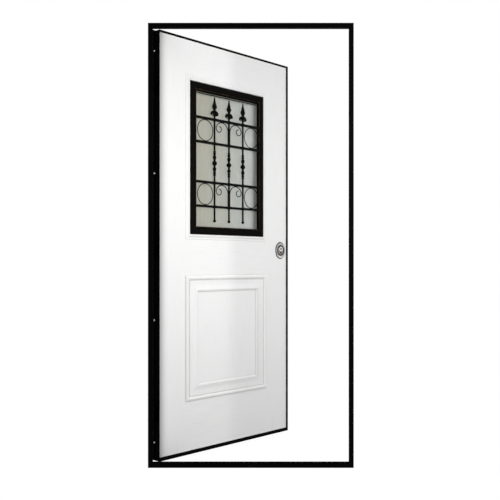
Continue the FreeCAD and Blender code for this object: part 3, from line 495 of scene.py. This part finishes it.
def satin_nickel():
    """Cast zinc with satin nickel plating. The raised band is paler, its lower end has a painted
    highlight, and painted shade darkens the groove and the rim."""
    material, tree, shader = new_material(
        "satin_nickel",
        {"Metallic": 1.0, "Roughness": 0.3},
    )
    place = leaf_place(tree)
    cloud = add_node(tree, "ShaderNodeTexNoise", {"Vector": place, "Scale": 1 / (18 * MM), "Detail": 4.0})
    # The middle of the lock in the middle of the leaf's thickness
    centred = add_node(
        tree,
        "ShaderNodeVectorMath",
        {0: place, 1: (LOCK[0] * MM, LEAF_THICKNESS / 2, LOCK[1] * MM)},
        operation="SUBTRACT",
    )
    flat = add_node(
        tree,
        "ShaderNodeVectorMath",
        {0: centred.outputs["Vector"], 1: (1, 0, 1)},
        operation="MULTIPLY",
    )
    reach = add_node(tree, "ShaderNodeVectorMath", {0: flat.outputs["Vector"]}, operation="LENGTH")
    shares = add_node(
        tree,
        "ShaderNodeMapRange",
        {"Value": reach.outputs["Value"], "From Min": 0.0, "From Max": 50 * MM},
    )
    worn = add_node(
        tree,
        "ShaderNodeMath",
        {0: cloud.outputs["Fac"], 1: 0.04, 2: shares.outputs["Result"]},
        operation="MULTIPLY_ADD",
    )
    # Tones by distance from the middle: the boss, painted shade darker towards the groove, the paler band,
    # and painted shade again at the rim
    plating = add_node(
        tree,
        "ShaderNodeValToRGB",
        {"Fac": worn.outputs["Value"]},
        stops=[(0.1, "#9a9795"), (0.45, "#827e7c"), (0.62, "#a5a2a0"), (0.8, "#b6b4b2"), (0.96, "#a09e9c")],
    )
    # The raised band's lower end is 24 to 36 mm below the middle. It gets a painted highlight.
    parts = add_node(tree, "ShaderNodeSeparateXYZ", {"Vector": centred.outputs["Vector"]})
    low = add_node(
        tree,
        "ShaderNodeMapRange",
        {"Value": parts.outputs["Z"], "From Min": -0.024, "From Max": -0.036, "To Max": 0.7},
    )
    polished = add_node(
        tree,
        "ShaderNodeMix",
        {0: low.outputs["Result"], 6: plating.outputs["Color"], 7: linear("#dedddb")},
        data_type="RGBA",
    )
    # The groove and the rim lie less than 3.2 mm above the leaf's faces, and they are painted dark as shade
    low_rise = LEAF_THICKNESS / 2 + 3.2 * MM
    high_rise = LEAF_THICKNESS / 2 + 3.9 * MM
    depth = add_node(tree, "ShaderNodeMath", {0: parts.outputs["Y"]}, operation="ABSOLUTE")
    rise = add_node(
        tree,
        "ShaderNodeMapRange",
        {"Value": depth.outputs["Value"], "From Min": low_rise, "From Max": high_rise},
    )
    groove_shaded = add_node(
        tree,
        "ShaderNodeMix",
        {0: rise.outputs["Result"], 6: linear("#1f1c1c"), 7: polished.outputs[2]},
        data_type="RGBA",
    )
    tree.links.new(groove_shaded.outputs[2], shader.inputs["Base Color"])
    bump = add_node(
        tree,
        "ShaderNodeBump",
        {"Height": cloud.outputs["Fac"], "Distance": 0.05 * MM, "Strength": 0.4},
    )
    tree.links.new(bump.outputs["Normal"], shader.inputs["Normal"])
    return material


def worn_nickel():
    """Nickel plate that keys and fingers have polished bright. It gives a pale ring."""
    material, tree, shader = new_material(
        "worn_nickel",
        {"Metallic": 1.0, "Roughness": 0.2},
    )
    place = add_node(tree, "ShaderNodeTexCoord").outputs["Object"]
    rubs = add_node(tree, "ShaderNodeTexNoise", {"Vector": place, "Scale": 1 / (3 * MM), "Detail": 4.0})
    colour = add_node(
        tree,
        "ShaderNodeValToRGB",
        {"Fac": rubs.outputs["Fac"]},
        stops=[(0.3, "#c9c8c5"), (0.6, "#e6e5e3")],
    )
    tree.links.new(colour.outputs["Color"], shader.inputs["Base Color"])
    bump = add_node(
        tree,
        "ShaderNodeBump",
        {"Height": rubs.outputs["Fac"], "Distance": 0.02 * MM, "Strength": 0.4},
    )
    tree.links.new(bump.outputs["Normal"], shader.inputs["Normal"])
    return material


def shaded_brass():
    """Turned brass, coloured very dark as painted shade in its recess. It gives a dark, warm dot round the
    keyway.
    """
    material, tree, shader = new_material(
        "shaded_brass",
        {"Metallic": 1.0, "Roughness": 0.42},
    )
    place = add_node(tree, "ShaderNodeTexCoord").outputs["Object"]
    dull = add_node(tree, "ShaderNodeTexNoise", {"Vector": place, "Scale": 1 / (2.5 * MM), "Detail": 4.0})
    colour = add_node(
        tree,
        "ShaderNodeValToRGB",
        {"Fac": dull.outputs["Fac"]},
        stops=[(0.35, "#221d18"), (0.7, "#3d362c")],
    )
    tree.links.new(colour.outputs["Color"], shader.inputs["Base Color"])
    return material


def rigid_foam():
    """Rigid polyurethane foam, pale yellow, with cells about 1.5 mm across."""
    material, tree, shader = new_material(
        "rigid_foam",
        {"Roughness": 0.9, "Specular IOR Level": 0.2},
    )
    place = add_node(tree, "ShaderNodeTexCoord").outputs["Object"]
    cells = add_node(tree, "ShaderNodeTexVoronoi", {"Vector": place, "Scale": 1 / (1.5 * MM)})
    colour = add_node(
        tree,
        "ShaderNodeValToRGB",
        {"Fac": cells.outputs["Distance"]},
        stops=[(0.1, "#c8b67f"), (0.6, "#e2d5a8")],
    )
    tree.links.new(colour.outputs["Color"], shader.inputs["Base Color"])
    bump = add_node(
        tree,
        "ShaderNodeBump",
        {"Height": cells.outputs["Distance"], "Distance": 0.4 * MM, "Strength": 0.5},
    )
    tree.links.new(bump.outputs["Normal"], shader.inputs["Normal"])
    return material


# The record's material slots and the finishes that fill them
FINISHES = {
    "frame_black": powder_coated_steel,
    "leaf_white": film_faced_steel,
    "core_foam": rigid_foam,
    "obscure_glass": rolled_glass,
    "gasket_rubber": epdm_rubber,
    "window_black": bronzed_enamel,
    "grille_iron": forged_iron,
    "steel": zinc_plated_steel,
    "escutcheon_chrome": satin_nickel,
    "brass": shaded_brass,
}


def finish(slot):
    """The material of a slot, made when it is first asked for."""
    maker = FINISHES[slot]
    return bpy.data.materials.get(maker.__name__) or maker()


# Shapes


def keep(shape, name, body, slot, where=None, smooth=False, coat=None):
    """Turn a bmesh into a piece that rides on a body, with its place in its mesh."""
    bmesh.ops.remove_doubles(shape, verts=shape.verts, dist=0.01 * MM)
    bmesh.ops.recalc_face_normals(shape, faces=shape.faces)
    if where is not None:
        bmesh.ops.transform(shape, matrix=where, verts=shape.verts)
    for face in shape.faces:
        face.smooth = smooth
    mesh = bpy.data.meshes.new(name)
    shape.to_mesh(mesh)
    shape.free()
    if not mesh.polygons:
        raise RuntimeError(f"{name} has no faces")
    if smooth:
        mesh.set_sharp_from_angle(angle=math.radians(35))
    mesh.materials.append(coat or finish(slot))
    piece = bpy.data.objects.new(name, mesh)
    bpy.context.scene.collection.objects.link(piece)
    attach(piece, body)
    return piece


def block(shape, centre, sides, bevel, where=None):
    """A block with bevelled edges. Centre and sides are in millimetres."""
    made = bmesh.ops.create_cube(shape, size=1)["verts"]
    known = set(shape.verts) - set(made)
    bmesh.ops.scale(shape, vec=Vector(sides) * MM, verts=made)
    bmesh.ops.translate(shape, vec=Vector(centre) * MM, verts=made)
    edges = list({edge for vert in made for edge in vert.link_edges})
    bmesh.ops.bevel(
        shape,
        geom=edges,
        offset=bevel * MM,
        offset_type="OFFSET",
        affect="EDGES",
        segments=2,
        profile=0.5,
        material=-1,
    )
    if where is not None:
        made = [vert for vert in shape.verts if vert not in known]
        bmesh.ops.transform(shape, matrix=where, verts=made)


def turn_profile(shape, profile, steps, where):
    """Spin a profile of (radius, height) in millimetres round the Z axis, then place the result."""
    points = [shape.verts.new((radius * MM, 0, height * MM)) for radius, height in profile]
    lines = [shape.edges.new(pair) for pair in zip(points, points[1:])]
    before = set(shape.verts) - set(points)
    bmesh.ops.spin(
        shape,
        geom=points + lines,
        cent=(0, 0, 0),
        axis=(0, 0, 1),
        angle=2 * math.pi,
        steps=steps,
        use_merge=True,
    )
    made = [vert for vert in shape.verts if vert not in before]
    bmesh.ops.transform(shape, matrix=where, verts=made)
    return made


def stack_rings(shape, rings, steps, where):
    """Bridge a stack of oval rings into one closed shape with a hole. Each ring has its half
    width, its half height, its rise and the lift of its centre, all in millimetres."""
    known = set(shape.verts)
    loops = []
    for wide, tall, rise, lift in rings:
        ring = bmesh.ops.create_circle(shape, cap_ends=False, segments=steps, radius=1)["verts"]
        bmesh.ops.scale(shape, vec=(wide * MM, tall * MM, 1), verts=ring)
        bmesh.ops.translate(shape, vec=(0, lift * MM, rise * MM), verts=ring)
        loops.append({edge for vert in ring for edge in vert.link_edges})
    for lower, upper in zip(loops, loops[1:] + loops[:1]):
        bmesh.ops.bridge_loops(shape, edges=list(lower | upper))
    made = [vert for vert in shape.verts if vert not in known]
    bmesh.ops.transform(shape, matrix=where, verts=made)


def hook(shape, where, radius, bar, turn, steps):
    """Curl a tapering bar about the X axis of a place. It starts above the centre and falls away
    towards -Y. Radius and bar are in millimetres."""
    known = set(shape.verts)
    made = bmesh.ops.create_circle(shape, cap_ends=True, segments=8, radius=bar * MM)
    face = next(iter(made["verts"][0].link_faces))
    bmesh.ops.rotate(shape, verts=made["verts"], cent=(0, 0, 0), matrix=FACING.to_3x3())
    bmesh.ops.translate(shape, vec=(0, 0, radius * MM), verts=made["verts"])
    for _ in range(steps):
        grown = bmesh.ops.extrude_face_region(shape, geom=[face])["geom"]
        bmesh.ops.delete(shape, geom=[face], context="FACES_ONLY")
        ring = [item for item in grown if isinstance(item, bmesh.types.BMVert)]
        face = next(item for item in grown if isinstance(item, bmesh.types.BMFace))
        bmesh.ops.rotate(
            shape,
            verts=ring,
            cent=(0, 0, 0),
            matrix=Matrix.Rotation(math.radians(turn / steps), 3, "X"),
        )
        middle = sum((vert.co for vert in ring), Vector()) / len(ring)
        thinner = 1 - 0.5 / steps
        bmesh.ops.scale(shape, vec=(thinner,) * 3, space=Matrix.Translation(-middle), verts=ring)
    bmesh.ops.transform(shape, matrix=where, verts=[vert for vert in shape.verts if vert not in known])


def moulded_loop(shape, wide, tall, profile, where):
    """A mitred rectangular loop of moulding about the middle of a face, closed behind. The
    profile gives distances in from the loop's outer edge with the rise at each, in millimetres."""
    known = set(shape.verts)
    start, rise = profile[0]
    made = bmesh.ops.create_grid(shape, x_segments=1, y_segments=1, size=0.5)["verts"]
    bmesh.ops.scale(shape, vec=((wide - 2 * start) * MM, (tall - 2 * start) * MM, 1), verts=made)
    bmesh.ops.translate(shape, vec=(0, 0, rise * MM), verts=made)
    field = made[0].link_faces[0]
    for (near, low), (far, high) in zip(profile, profile[1:]):
        bmesh.ops.inset_region(
            shape,
            faces=[field],
            thickness=(far - near) * MM,
            depth=(high - low) * MM,
            use_boundary=True,
            use_even_offset=True,
        )
    if len(shape.faces) < 4 * len(profile) - 3:
        raise RuntimeError("A loop of moulding has too few faces")
    bmesh.ops.delete(shape, geom=[field], context="FACES_ONLY")
    made = [vert for vert in shape.verts if vert not in known]
    rims = [edge for edge in shape.edges if edge.is_boundary and edge.verts[0] not in known]
    bmesh.ops.bridge_loops(shape, edges=rims)
    bmesh.ops.transform(shape, matrix=where @ FACING, verts=made)


class DoorFittings(bpy.types.PropertyGroup):
    """Sizes of the added fittings"""

    collar_width: FloatProperty(
        name="Collar width",
        description="Width of the forged collar where a picket crosses a rail",
        default=0.018,
        min=0.012,
        max=0.03,
        subtype="DISTANCE",
        unit="LENGTH",
    )
    bead_width: FloatProperty(
        name="Glazing bead width",
        description="Width of the seal round the visible edge of the glass",
        default=0.005,
        min=0.004,
        max=0.012,
        subtype="DISTANCE",
        unit="LENGTH",
    )
    seal_width: FloatProperty(
        name="Hinge seal width",
        description="Width of the seal on the leaf's rear lip at the hinges",
        default=0.006,
        min=0.003,
        max=0.006,
        subtype="DISTANCE",
        unit="LENGTH",
    )


class DoorStage(bpy.types.PropertyGroup):
    """The camera, the lamps, the room's light and the floor"""

    focal_length: FloatProperty(
        name="Focal length",
        description="The camera's focal length on a 36 mm sensor",
        default=54.5,
        min=20,
        max=200,
        subtype="DISTANCE_CAMERA",
        unit="CAMERA",
    )
    eye_height: FloatProperty(
        name="Eye height",
        description="Height of the camera above the threshold's underside",
        default=0.985,
        min=0.2,
        max=2.5,
        subtype="DISTANCE",
        unit="LENGTH",
    )
    eye_distance: FloatProperty(
        name="Eye distance",
        description="Distance of the camera in front of the frame's middle",
        default=3.686,
        min=1.0,
        max=20.0,
        subtype="DISTANCE",
        unit="LENGTH",
    )
    key_power: FloatProperty(
        name="Key light",
        description="Power of the soft lamp that faces the open leaf",
        default=28.5,
        min=0.0,
        max=1000.0,
        subtype="POWER",
        unit="POWER",
    )
    side_power: FloatProperty(
        name="Side light",
        description="Power of the small lamp that brightens the leaf near the hinges",
        default=4.2,
        min=0.0,
        max=1000.0,
        subtype="POWER",
        unit="POWER",
    )
    ceiling_level: FloatProperty(
        name="Ceiling level",
        description="Brightness of the room's light from straight above",
        default=0.8,
        min=0.0,
        max=2.0,
        subtype="FACTOR",
    )
    horizon_level: FloatProperty(
        name="Horizon level",
        description="Brightness of the room's light from the walls",
        default=0.15,
        min=0.0,
        max=2.0,
        subtype="FACTOR",
    )
    floor_colour: FloatVectorProperty(
        name="Floor colour",
        description="Colour of the plain floor",
        default=(0.5, 0.5, 0.5),
        min=0.0,
        max=1.0,
        size=3,
        subtype="COLOR",
    )


class DOOR_OT_finish_parts(bpy.types.Operator):
    """Give every part of the door the finish of its material slot"""

    bl_idname = "door.finish_parts"
    bl_label = "Finish Parts"

    def execute(self, context):
        for part in frame["record"]["subparts"]:
            node = frame["nodes"][part["node"]]
            node.data.materials.clear()
            node.data.materials.append(finish(part["material_slot"]))
        # The cylinder is turned from brass like its plug, and the dog bolts' shanks are coated
        frame["nodes"]["lock_cylinder"].data.materials[0] = finish("brass")
        for place in ("bottom", "lower_middle", "upper_middle", "top"):
            frame["nodes"][f"dog_bolt_{place}"].data.materials[0] = finish("frame_black")
        return {"FINISHED"}


class DOOR_OT_add_grille_details(bpy.types.Operator):
    """Forge the spear heads, their drooping leaves and the collars of the grille"""

    bl_idname = "door.add_grille_details"
    bl_label = "Add Grille Details"

    def execute(self, context):
        # Radius and height from the tip. The spear is beaten flat with four edges, and its three
        # leaves curl down from the bud below it.
        spear = [(0, 0), (2.6, -14), (6.5, -32), (15.5, -53), (12, -59), (7, -68), (5.2, -74), (0, -76)]
        bud = [(0, -70), (6.5, -73), (9.5, -78), (9.5, -82), (7.5, -87), (6, -93), (0, -95)]
        flat = Matrix.Diagonal((1, 0.7, 1, 1))
        collar = (context.scene.door_fittings.collar_width / MM, 16, 15)
        heads = bmesh.new()
        leaves = bmesh.new()
        collars = bmesh.new()
        for across in PICKETS:
            tip = Matrix.Translation(Vector((across, GRILLE_DEPTH, SPEAR_TIP)) * MM)
            turn_profile(heads, spear, 4, tip @ flat)
            turn_profile(leaves, bud, 16, tip)
            for side in (-90, 0, 90):
                reach = 10 if side else 8
                where = (
                    tip
                    @ Matrix.Rotation(math.radians(side), 4, "Z")
                    @ Matrix.Translation(Vector((0, -reach, -88)) * MM)
                )
                hook(leaves, where, radius=9, bar=3.6, turn=165, steps=9)
            for height in RAILS:
                block(collars, (across, GRILLE_DEPTH, height), collar, bevel=2)
        keep(heads, "spear_heads", "leaf", "grille_iron", LEAF)
        keep(leaves, "spear_leaves", "leaf", "grille_iron", LEAF, smooth=True)
        keep(collars, "grille_collars", "leaf", "grille_iron", LEAF)
        return {"FINISHED"}


class DOOR_OT_add_glazing_bead(bpy.types.Operator):
    """Run a rubber seal round the glass on both faces, with a thin bead below its top"""

    bl_idname = "door.add_glazing_bead"
    bl_label = "Add Glazing Bead"

    def execute(self, context):
        strip = context.scene.door_fittings.bead_width / MM
        wide, tall, middle = WINDOW
        top = middle + tall / 2
        seal = bmesh.new()
        round_over = [(0, 0), (0.4, 2), (1.3, 2.6), (strip - 1.3, 2.6), (strip - 0.4, 2), (strip, 0)]
        # Seen from either side, the seal sits a little to the right and reaches below the opening
        aside = 2
        below = 4
        bead_drop = 6
        bead_deep = 3.2
        bead_tall = 4
        for face, depth in zip((OUTSIDE, INSIDE), GLASS_DEPTHS):
            where = face @ Matrix.Translation(Vector((aside, depth, middle - below / 2)) * MM)
            moulded_loop(seal, wide, tall + below, round_over, where)
            centre = Vector((aside, depth - bead_deep / 2, top - strip - bead_drop))
            sides = (wide - 2 * strip, bead_deep, bead_tall)
            block(seal, centre, sides, bevel=0.8, where=face)
        keep(seal, "glazing_seal", "leaf", "gasket_rubber", LEAF)
        return {"FINISHED"}


class DOOR_OT_add_panel_cove(bpy.types.Operator):
    """Sweep the wide cove between the two beads of the lower panel, on both faces"""

    bl_idname = "door.add_panel_cove"
    bl_label = "Add Panel Cove"

    def execute(self, context):
        wide, tall, middle = PANEL
        # Distances in from the panel's edge and rises. It starts at a fine quirk beside the outer
        # bead and ends at the inner one's crest.
        profile = [
            (25, 1.8),
            (26, 3.3),
            (32, 2.9),
            (44, 2.9),
            (50, 3.2),
            (56, 4.1),
            (61, 5.3),
            (66, 6.9),
            (70, 8.2),
            (73, 8.6),
            (75, 8.8),
            (75.5, 2.7),
        ]
        cove = bmesh.new()
        for face in (OUTSIDE, INSIDE):
            moulded_loop(cove, wide, tall, profile, face @ Matrix.Translation((0, 0, middle * MM)))
        keep(cove, "panel_cove", "leaf", "leaf_white", LEAF)
        return {"FINISHED"}


class DOOR_OT_add_lock_details(bpy.types.Operator):
    """Replace the lock plates by grooved ones, with worn rings and the screws of the steel plates"""

    bl_idname = "door.add_lock_details"
    bl_label = "Add Lock Details"

    def execute(self, context):
        # Back, rim, band, groove, boss and the hole for the key, which is above the middle
        rings = [
            (41, 48, 0, 0),
            (41, 48, 1.6, 0),
            (40, 47, 2.8, 0),
            (37.4, 44.4, 3.1, 0),
            (36.4, 43.4, 4.6, 0),
            (33, 37, 4.9, 0),
            (30.6, 30.6, 4.7, 0),
            (29.8, 29.8, 2, 0),
            (24.2, 24.2, 2, 0),
            (23.2, 23.2, 4.4, 0),
            (21, 21, 5, 1),
            (12, 12, 5.3, KEY_LIFT),
            (8.8, 8.8, 5.3, KEY_LIFT),
            (8.8, 8.8, 0, KEY_LIFT),
        ]
        place = Matrix.Translation(Vector((LOCK[0], 0, LOCK[1])) * MM)
        mirrored = place @ Matrix.Translation((0, LEAF_THICKNESS, 0)) @ Matrix.Diagonal((1, -1, 1, 1))
        for name, node, where in (
            ("outside_lock_plate", "escutcheon_outside", place),
            ("inside_lock_plate", "escutcheon_inside", mirrored),
        ):
            plate = bmesh.new()
            stack_rings(plate, rings, 64, where @ FACING)
            piece = keep(plate, name, "leaf", "escutcheon_chrome", LEAF, smooth=True)
            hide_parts(node)
        worn = bmesh.new()
        lip = [(8.9, 4), (8.9, 7.2), (6.2, 7.2), (6.2, 7.7), (7, 8.3), (11.8, 8.3), (14, 7.4), (15, 4)]
        lift = Matrix.Translation((0, 0, KEY_LIFT * MM))
        for where in (place, mirrored):
            turn_profile(worn, lip + lip[:1], 64, where @ lift @ FACING)
        keep(worn, "cylinder_rings", "leaf", "escutcheon_chrome", LEAF, smooth=True, coat=worn_nickel())
        # Pan heads with a round drive hole, above and below the lock's middle
        head = [(0, -0.6), (1.7, -0.6), (1.7, 1.1), (2.4, 1.3), (3.6, 0.9), (4.2, 0), (4.2, -1), (0, -1)]
        plate = bmesh.new()
        strike = bmesh.new()
        for height in (LOCK[1] - SCREW_REACH, LOCK[1] + SCREW_REACH):
            out = Matrix.Translation(Vector((*FACEPLATE, height)) * MM)
            turn_profile(plate, head, 24, out @ Matrix.Rotation(math.pi / 2, 4, "Y"))
            back = Matrix.Translation(Vector((*STRIKE_PLATE, height)) * MM)
            turn_profile(strike, head, 24, back @ Matrix.Rotation(-math.pi / 2, 4, "Y"))
        keep(plate, "faceplate_screws", "leaf", "steel", LEAF)
        keep(strike, "strike_plate_screws", "frame", "steel")
        return {"FINISHED"}


class DOOR_OT_add_edge_details(bpy.types.Operator):
    """Stick a rubber seal on the rear lip beside the hinges, and dome the dog bolts' tips"""

    bl_idname = "door.add_edge_details"
    bl_label = "Add Edge Details"

    def execute(self, context):
        width = context.scene.door_fittings.seal_width / MM
        seal = bmesh.new()
        middle, length = HINGE_SEAL
        centre = (HINGE_LIP[0] - width / 2, HINGE_LIP[1], middle)
        block(seal, centre, (width, 2.8, length), bevel=0.8)
        keep(seal, "hinge_edge_seal", "leaf", "gasket_rubber", LEAF)
        tips = bmesh.new()
        dome = [(0, 0.8), (2.4, 0.7), (3.8, 0.4), (4.6, -0.2), (4.9, -1), (4.9, -2.4), (0, -2.4)]
        for height in DOG_BOLTS:
            out = Matrix.Translation(Vector((*DOG_BOLT_END, height)) * MM)
            turn_profile(tips, dome, 24, out @ Matrix.Rotation(-math.pi / 2, 4, "Y"))
        keep(tips, "dog_bolt_tips", "leaf", "steel", LEAF, smooth=True)
        return {"FINISHED"}


class DOOR_OT_set_stage(bpy.types.Operator):
    """Set the floor, the light and the camera at the photograph's angle"""

    bl_idname = "door.set_stage"
    bl_label = "Set Stage"

    def execute(self, context):
        scene = context.scene
        stage = scene.door_stage
        scene.view_settings.view_transform = "Standard"
        self.light_room(scene, stage)
        self.lay_floor(scene, stage)
        # Each lamp's place, the point it faces, its size and its power, in metres and watts
        self.hang_lamp(scene, "wide_key", (1.25, -1.0, 1.55), (-0.15, 0.38, 1.2), 0.9, stage.key_power)
        self.hang_lamp(scene, "side_glow", (-0.9, -1.3, 1.5), (-0.3, 0.25, 1.4), 0.6, stage.side_power)
        self.place_camera(scene, stage)
        return {"FINISHED"}

    def light_room(self, scene, stage):
        """A white backdrop, and light that is stronger from overhead than from the walls."""
        world = bpy.data.worlds.new("even_room")
        world.use_nodes = True
        scene.world = world
        tree = world.node_tree
        tree.nodes.clear()
        # The room is brighter overhead, so slopes that face up are lighter than those that face down
        ray = add_node(tree, "ShaderNodeTexCoord").outputs["Generated"]
        parts = add_node(tree, "ShaderNodeSeparateXYZ", {"Vector": ray})
        room = add_node(
            tree,
            "ShaderNodeMapRange",
            {"Value": parts.outputs["Z"], "To Min": stage.horizon_level, "To Max": stage.ceiling_level},
        )
        level = add_node(
            tree,
            "ShaderNodeMapRange",
            {"Value": self.seen_plainly(tree), "To Min": room.outputs["Result"], "To Max": 1.0},
        )
        light = add_node(tree, "ShaderNodeBackground", {"Strength": level.outputs["Result"]})
        light.inputs["Color"].default_value = linear("#ffffff")
        add_node(tree, "ShaderNodeOutputWorld", {"Surface": light.outputs["Background"]})

    def seen_plainly(self, tree):
        """One where the camera sees the backdrop, also in glass and metal, and zero for light."""
        path = add_node(tree, "ShaderNodeLightPath")
        through = add_node(
            tree,
            "ShaderNodeMath",
            {0: path.outputs["Is Camera Ray"], 1: path.outputs["Is Transmission Ray"]},
            operation="MAXIMUM",
        )
        seen = add_node(
            tree,
            "ShaderNodeMath",
            {0: through.outputs["Value"], 1: path.outputs["Is Glossy Ray"]},
            operation="MAXIMUM",
        )
        return seen.outputs["Value"]

    def lay_floor(self, scene, stage):
        """A plain floor that keeps the door's shadow and fades into the backdrop."""
        mesh = bpy.data.meshes.new("pale_floor")
        shape = bmesh.new()
        bmesh.ops.create_grid(shape, x_segments=1, y_segments=1, size=30)
        shape.to_mesh(mesh)
        shape.free()
        floor = bpy.data.objects.new("pale_floor", mesh)
        scene.collection.objects.link(floor)
        # A plain painted floor. Nine tenths of what is seen of it is the white of the backdrop, and
        # the rest takes the shadow.
        backdrop = 0.9
        glow_level = 1.08
        material = bpy.data.materials.new("painted_floor")
        material.use_nodes = True
        tree = material.node_tree
        tree.nodes.clear()
        lit = add_node(tree, "ShaderNodeBsdfDiffuse", {"Color": (*stage.floor_colour, 1.0)})
        glow = add_node(tree, "ShaderNodeEmission", {"Color": linear("#ffffff"), "Strength": glow_level})
        share = add_node(
            tree,
            "ShaderNodeMath",
            {0: self.seen_plainly(tree), 1: backdrop},
            operation="MULTIPLY",
        )
        mixed = add_node(
            tree,
            "ShaderNodeMixShader",
            {0: share.outputs["Value"], 1: lit.outputs["BSDF"], 2: glow.outputs["Emission"]},
        )
        add_node(tree, "ShaderNodeOutputMaterial", {"Surface": mixed.outputs["Shader"]})
        mesh.materials.append(material)

    def hang_lamp(self, scene, name, place, target, size, power):
        """A soft square lamp that the camera doesn't see."""
        lamp = bpy.data.lights.new(name, "AREA")
        lamp.size = size
        lamp.energy = power
        lamp.color = linear("#fffefc")[:3]
        holder = bpy.data.objects.new(name, lamp)
        scene.collection.objects.link(holder)
        holder.visible_camera = False
        holder.location = place
        holder.rotation_euler = (Vector(target) - Vector(place)).to_track_quat("-Z", "Y").to_euler()

    def place_camera(self, scene, stage):
        """A level camera in front of the frame, shifted as the photograph is."""
        lens = bpy.data.cameras.new("photo_view")
        lens.sensor_width = 36
        lens.lens = stage.focal_length
        lens.shift_y = 0.028
        lens.clip_end = 100
        camera = bpy.data.objects.new("photo_view", lens)
        scene.collection.objects.link(camera)
        # The photograph was taken a few millimetres left of the frame's middle
        sideways = -4 * MM
        camera.location = (sideways, -stage.eye_distance, stage.eye_height)
        camera.rotation_euler = (math.radians(90), 0, 0)
        scene.camera = camera


class DOOR_PT_panel(bpy.types.Panel):
    """Lists the steps that dress and light the door"""

    bl_idname = "DOOR_PT_panel"
    bl_label = "Security Door"
    bl_space_type = "VIEW_3D"
    bl_region_type = "UI"
    bl_category = "Security Door"

    def draw(self, context):
        layout = self.layout
        for step in STEPS:
            layout.operator(step.bl_idname)
        for group in (context.scene.door_fittings, context.scene.door_stage):
            for name in group.bl_rna.properties.keys():
                if name not in ("rna_type", "name"):
                    layout.prop(group, name)


STEPS = (
    DOOR_OT_finish_parts,
    DOOR_OT_add_grille_details,
    DOOR_OT_add_glazing_bead,
    DOOR_OT_add_panel_cove,
    DOOR_OT_add_lock_details,
    DOOR_OT_add_edge_details,
    DOOR_OT_set_stage,
)
CLASSES = (DoorFittings, DoorStage, *STEPS, DOOR_PT_panel)


def register():
    for item in CLASSES:
        bpy.utils.register_class(item)
    bpy.types.Scene.door_fittings = PointerProperty(type=DoorFittings)
    bpy.types.Scene.door_stage = PointerProperty(type=DoorStage)


def unregister():
    del bpy.types.Scene.door_stage
    del bpy.types.Scene.door_fittings
    for item in reversed(CLASSES):
        bpy.utils.unregister_class(item)


def main():
    """Dress, light and frame the door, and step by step."""
    register()
    bpy.ops.door.finish_parts()
    bpy.ops.door.add_grille_details()
    bpy.ops.door.add_glazing_bead()
    bpy.ops.door.add_panel_cove()
    bpy.ops.door.add_lock_details()
    bpy.ops.door.add_edge_details()
    bpy.ops.door.set_stage()


if __name__ == "__main__":
    main()
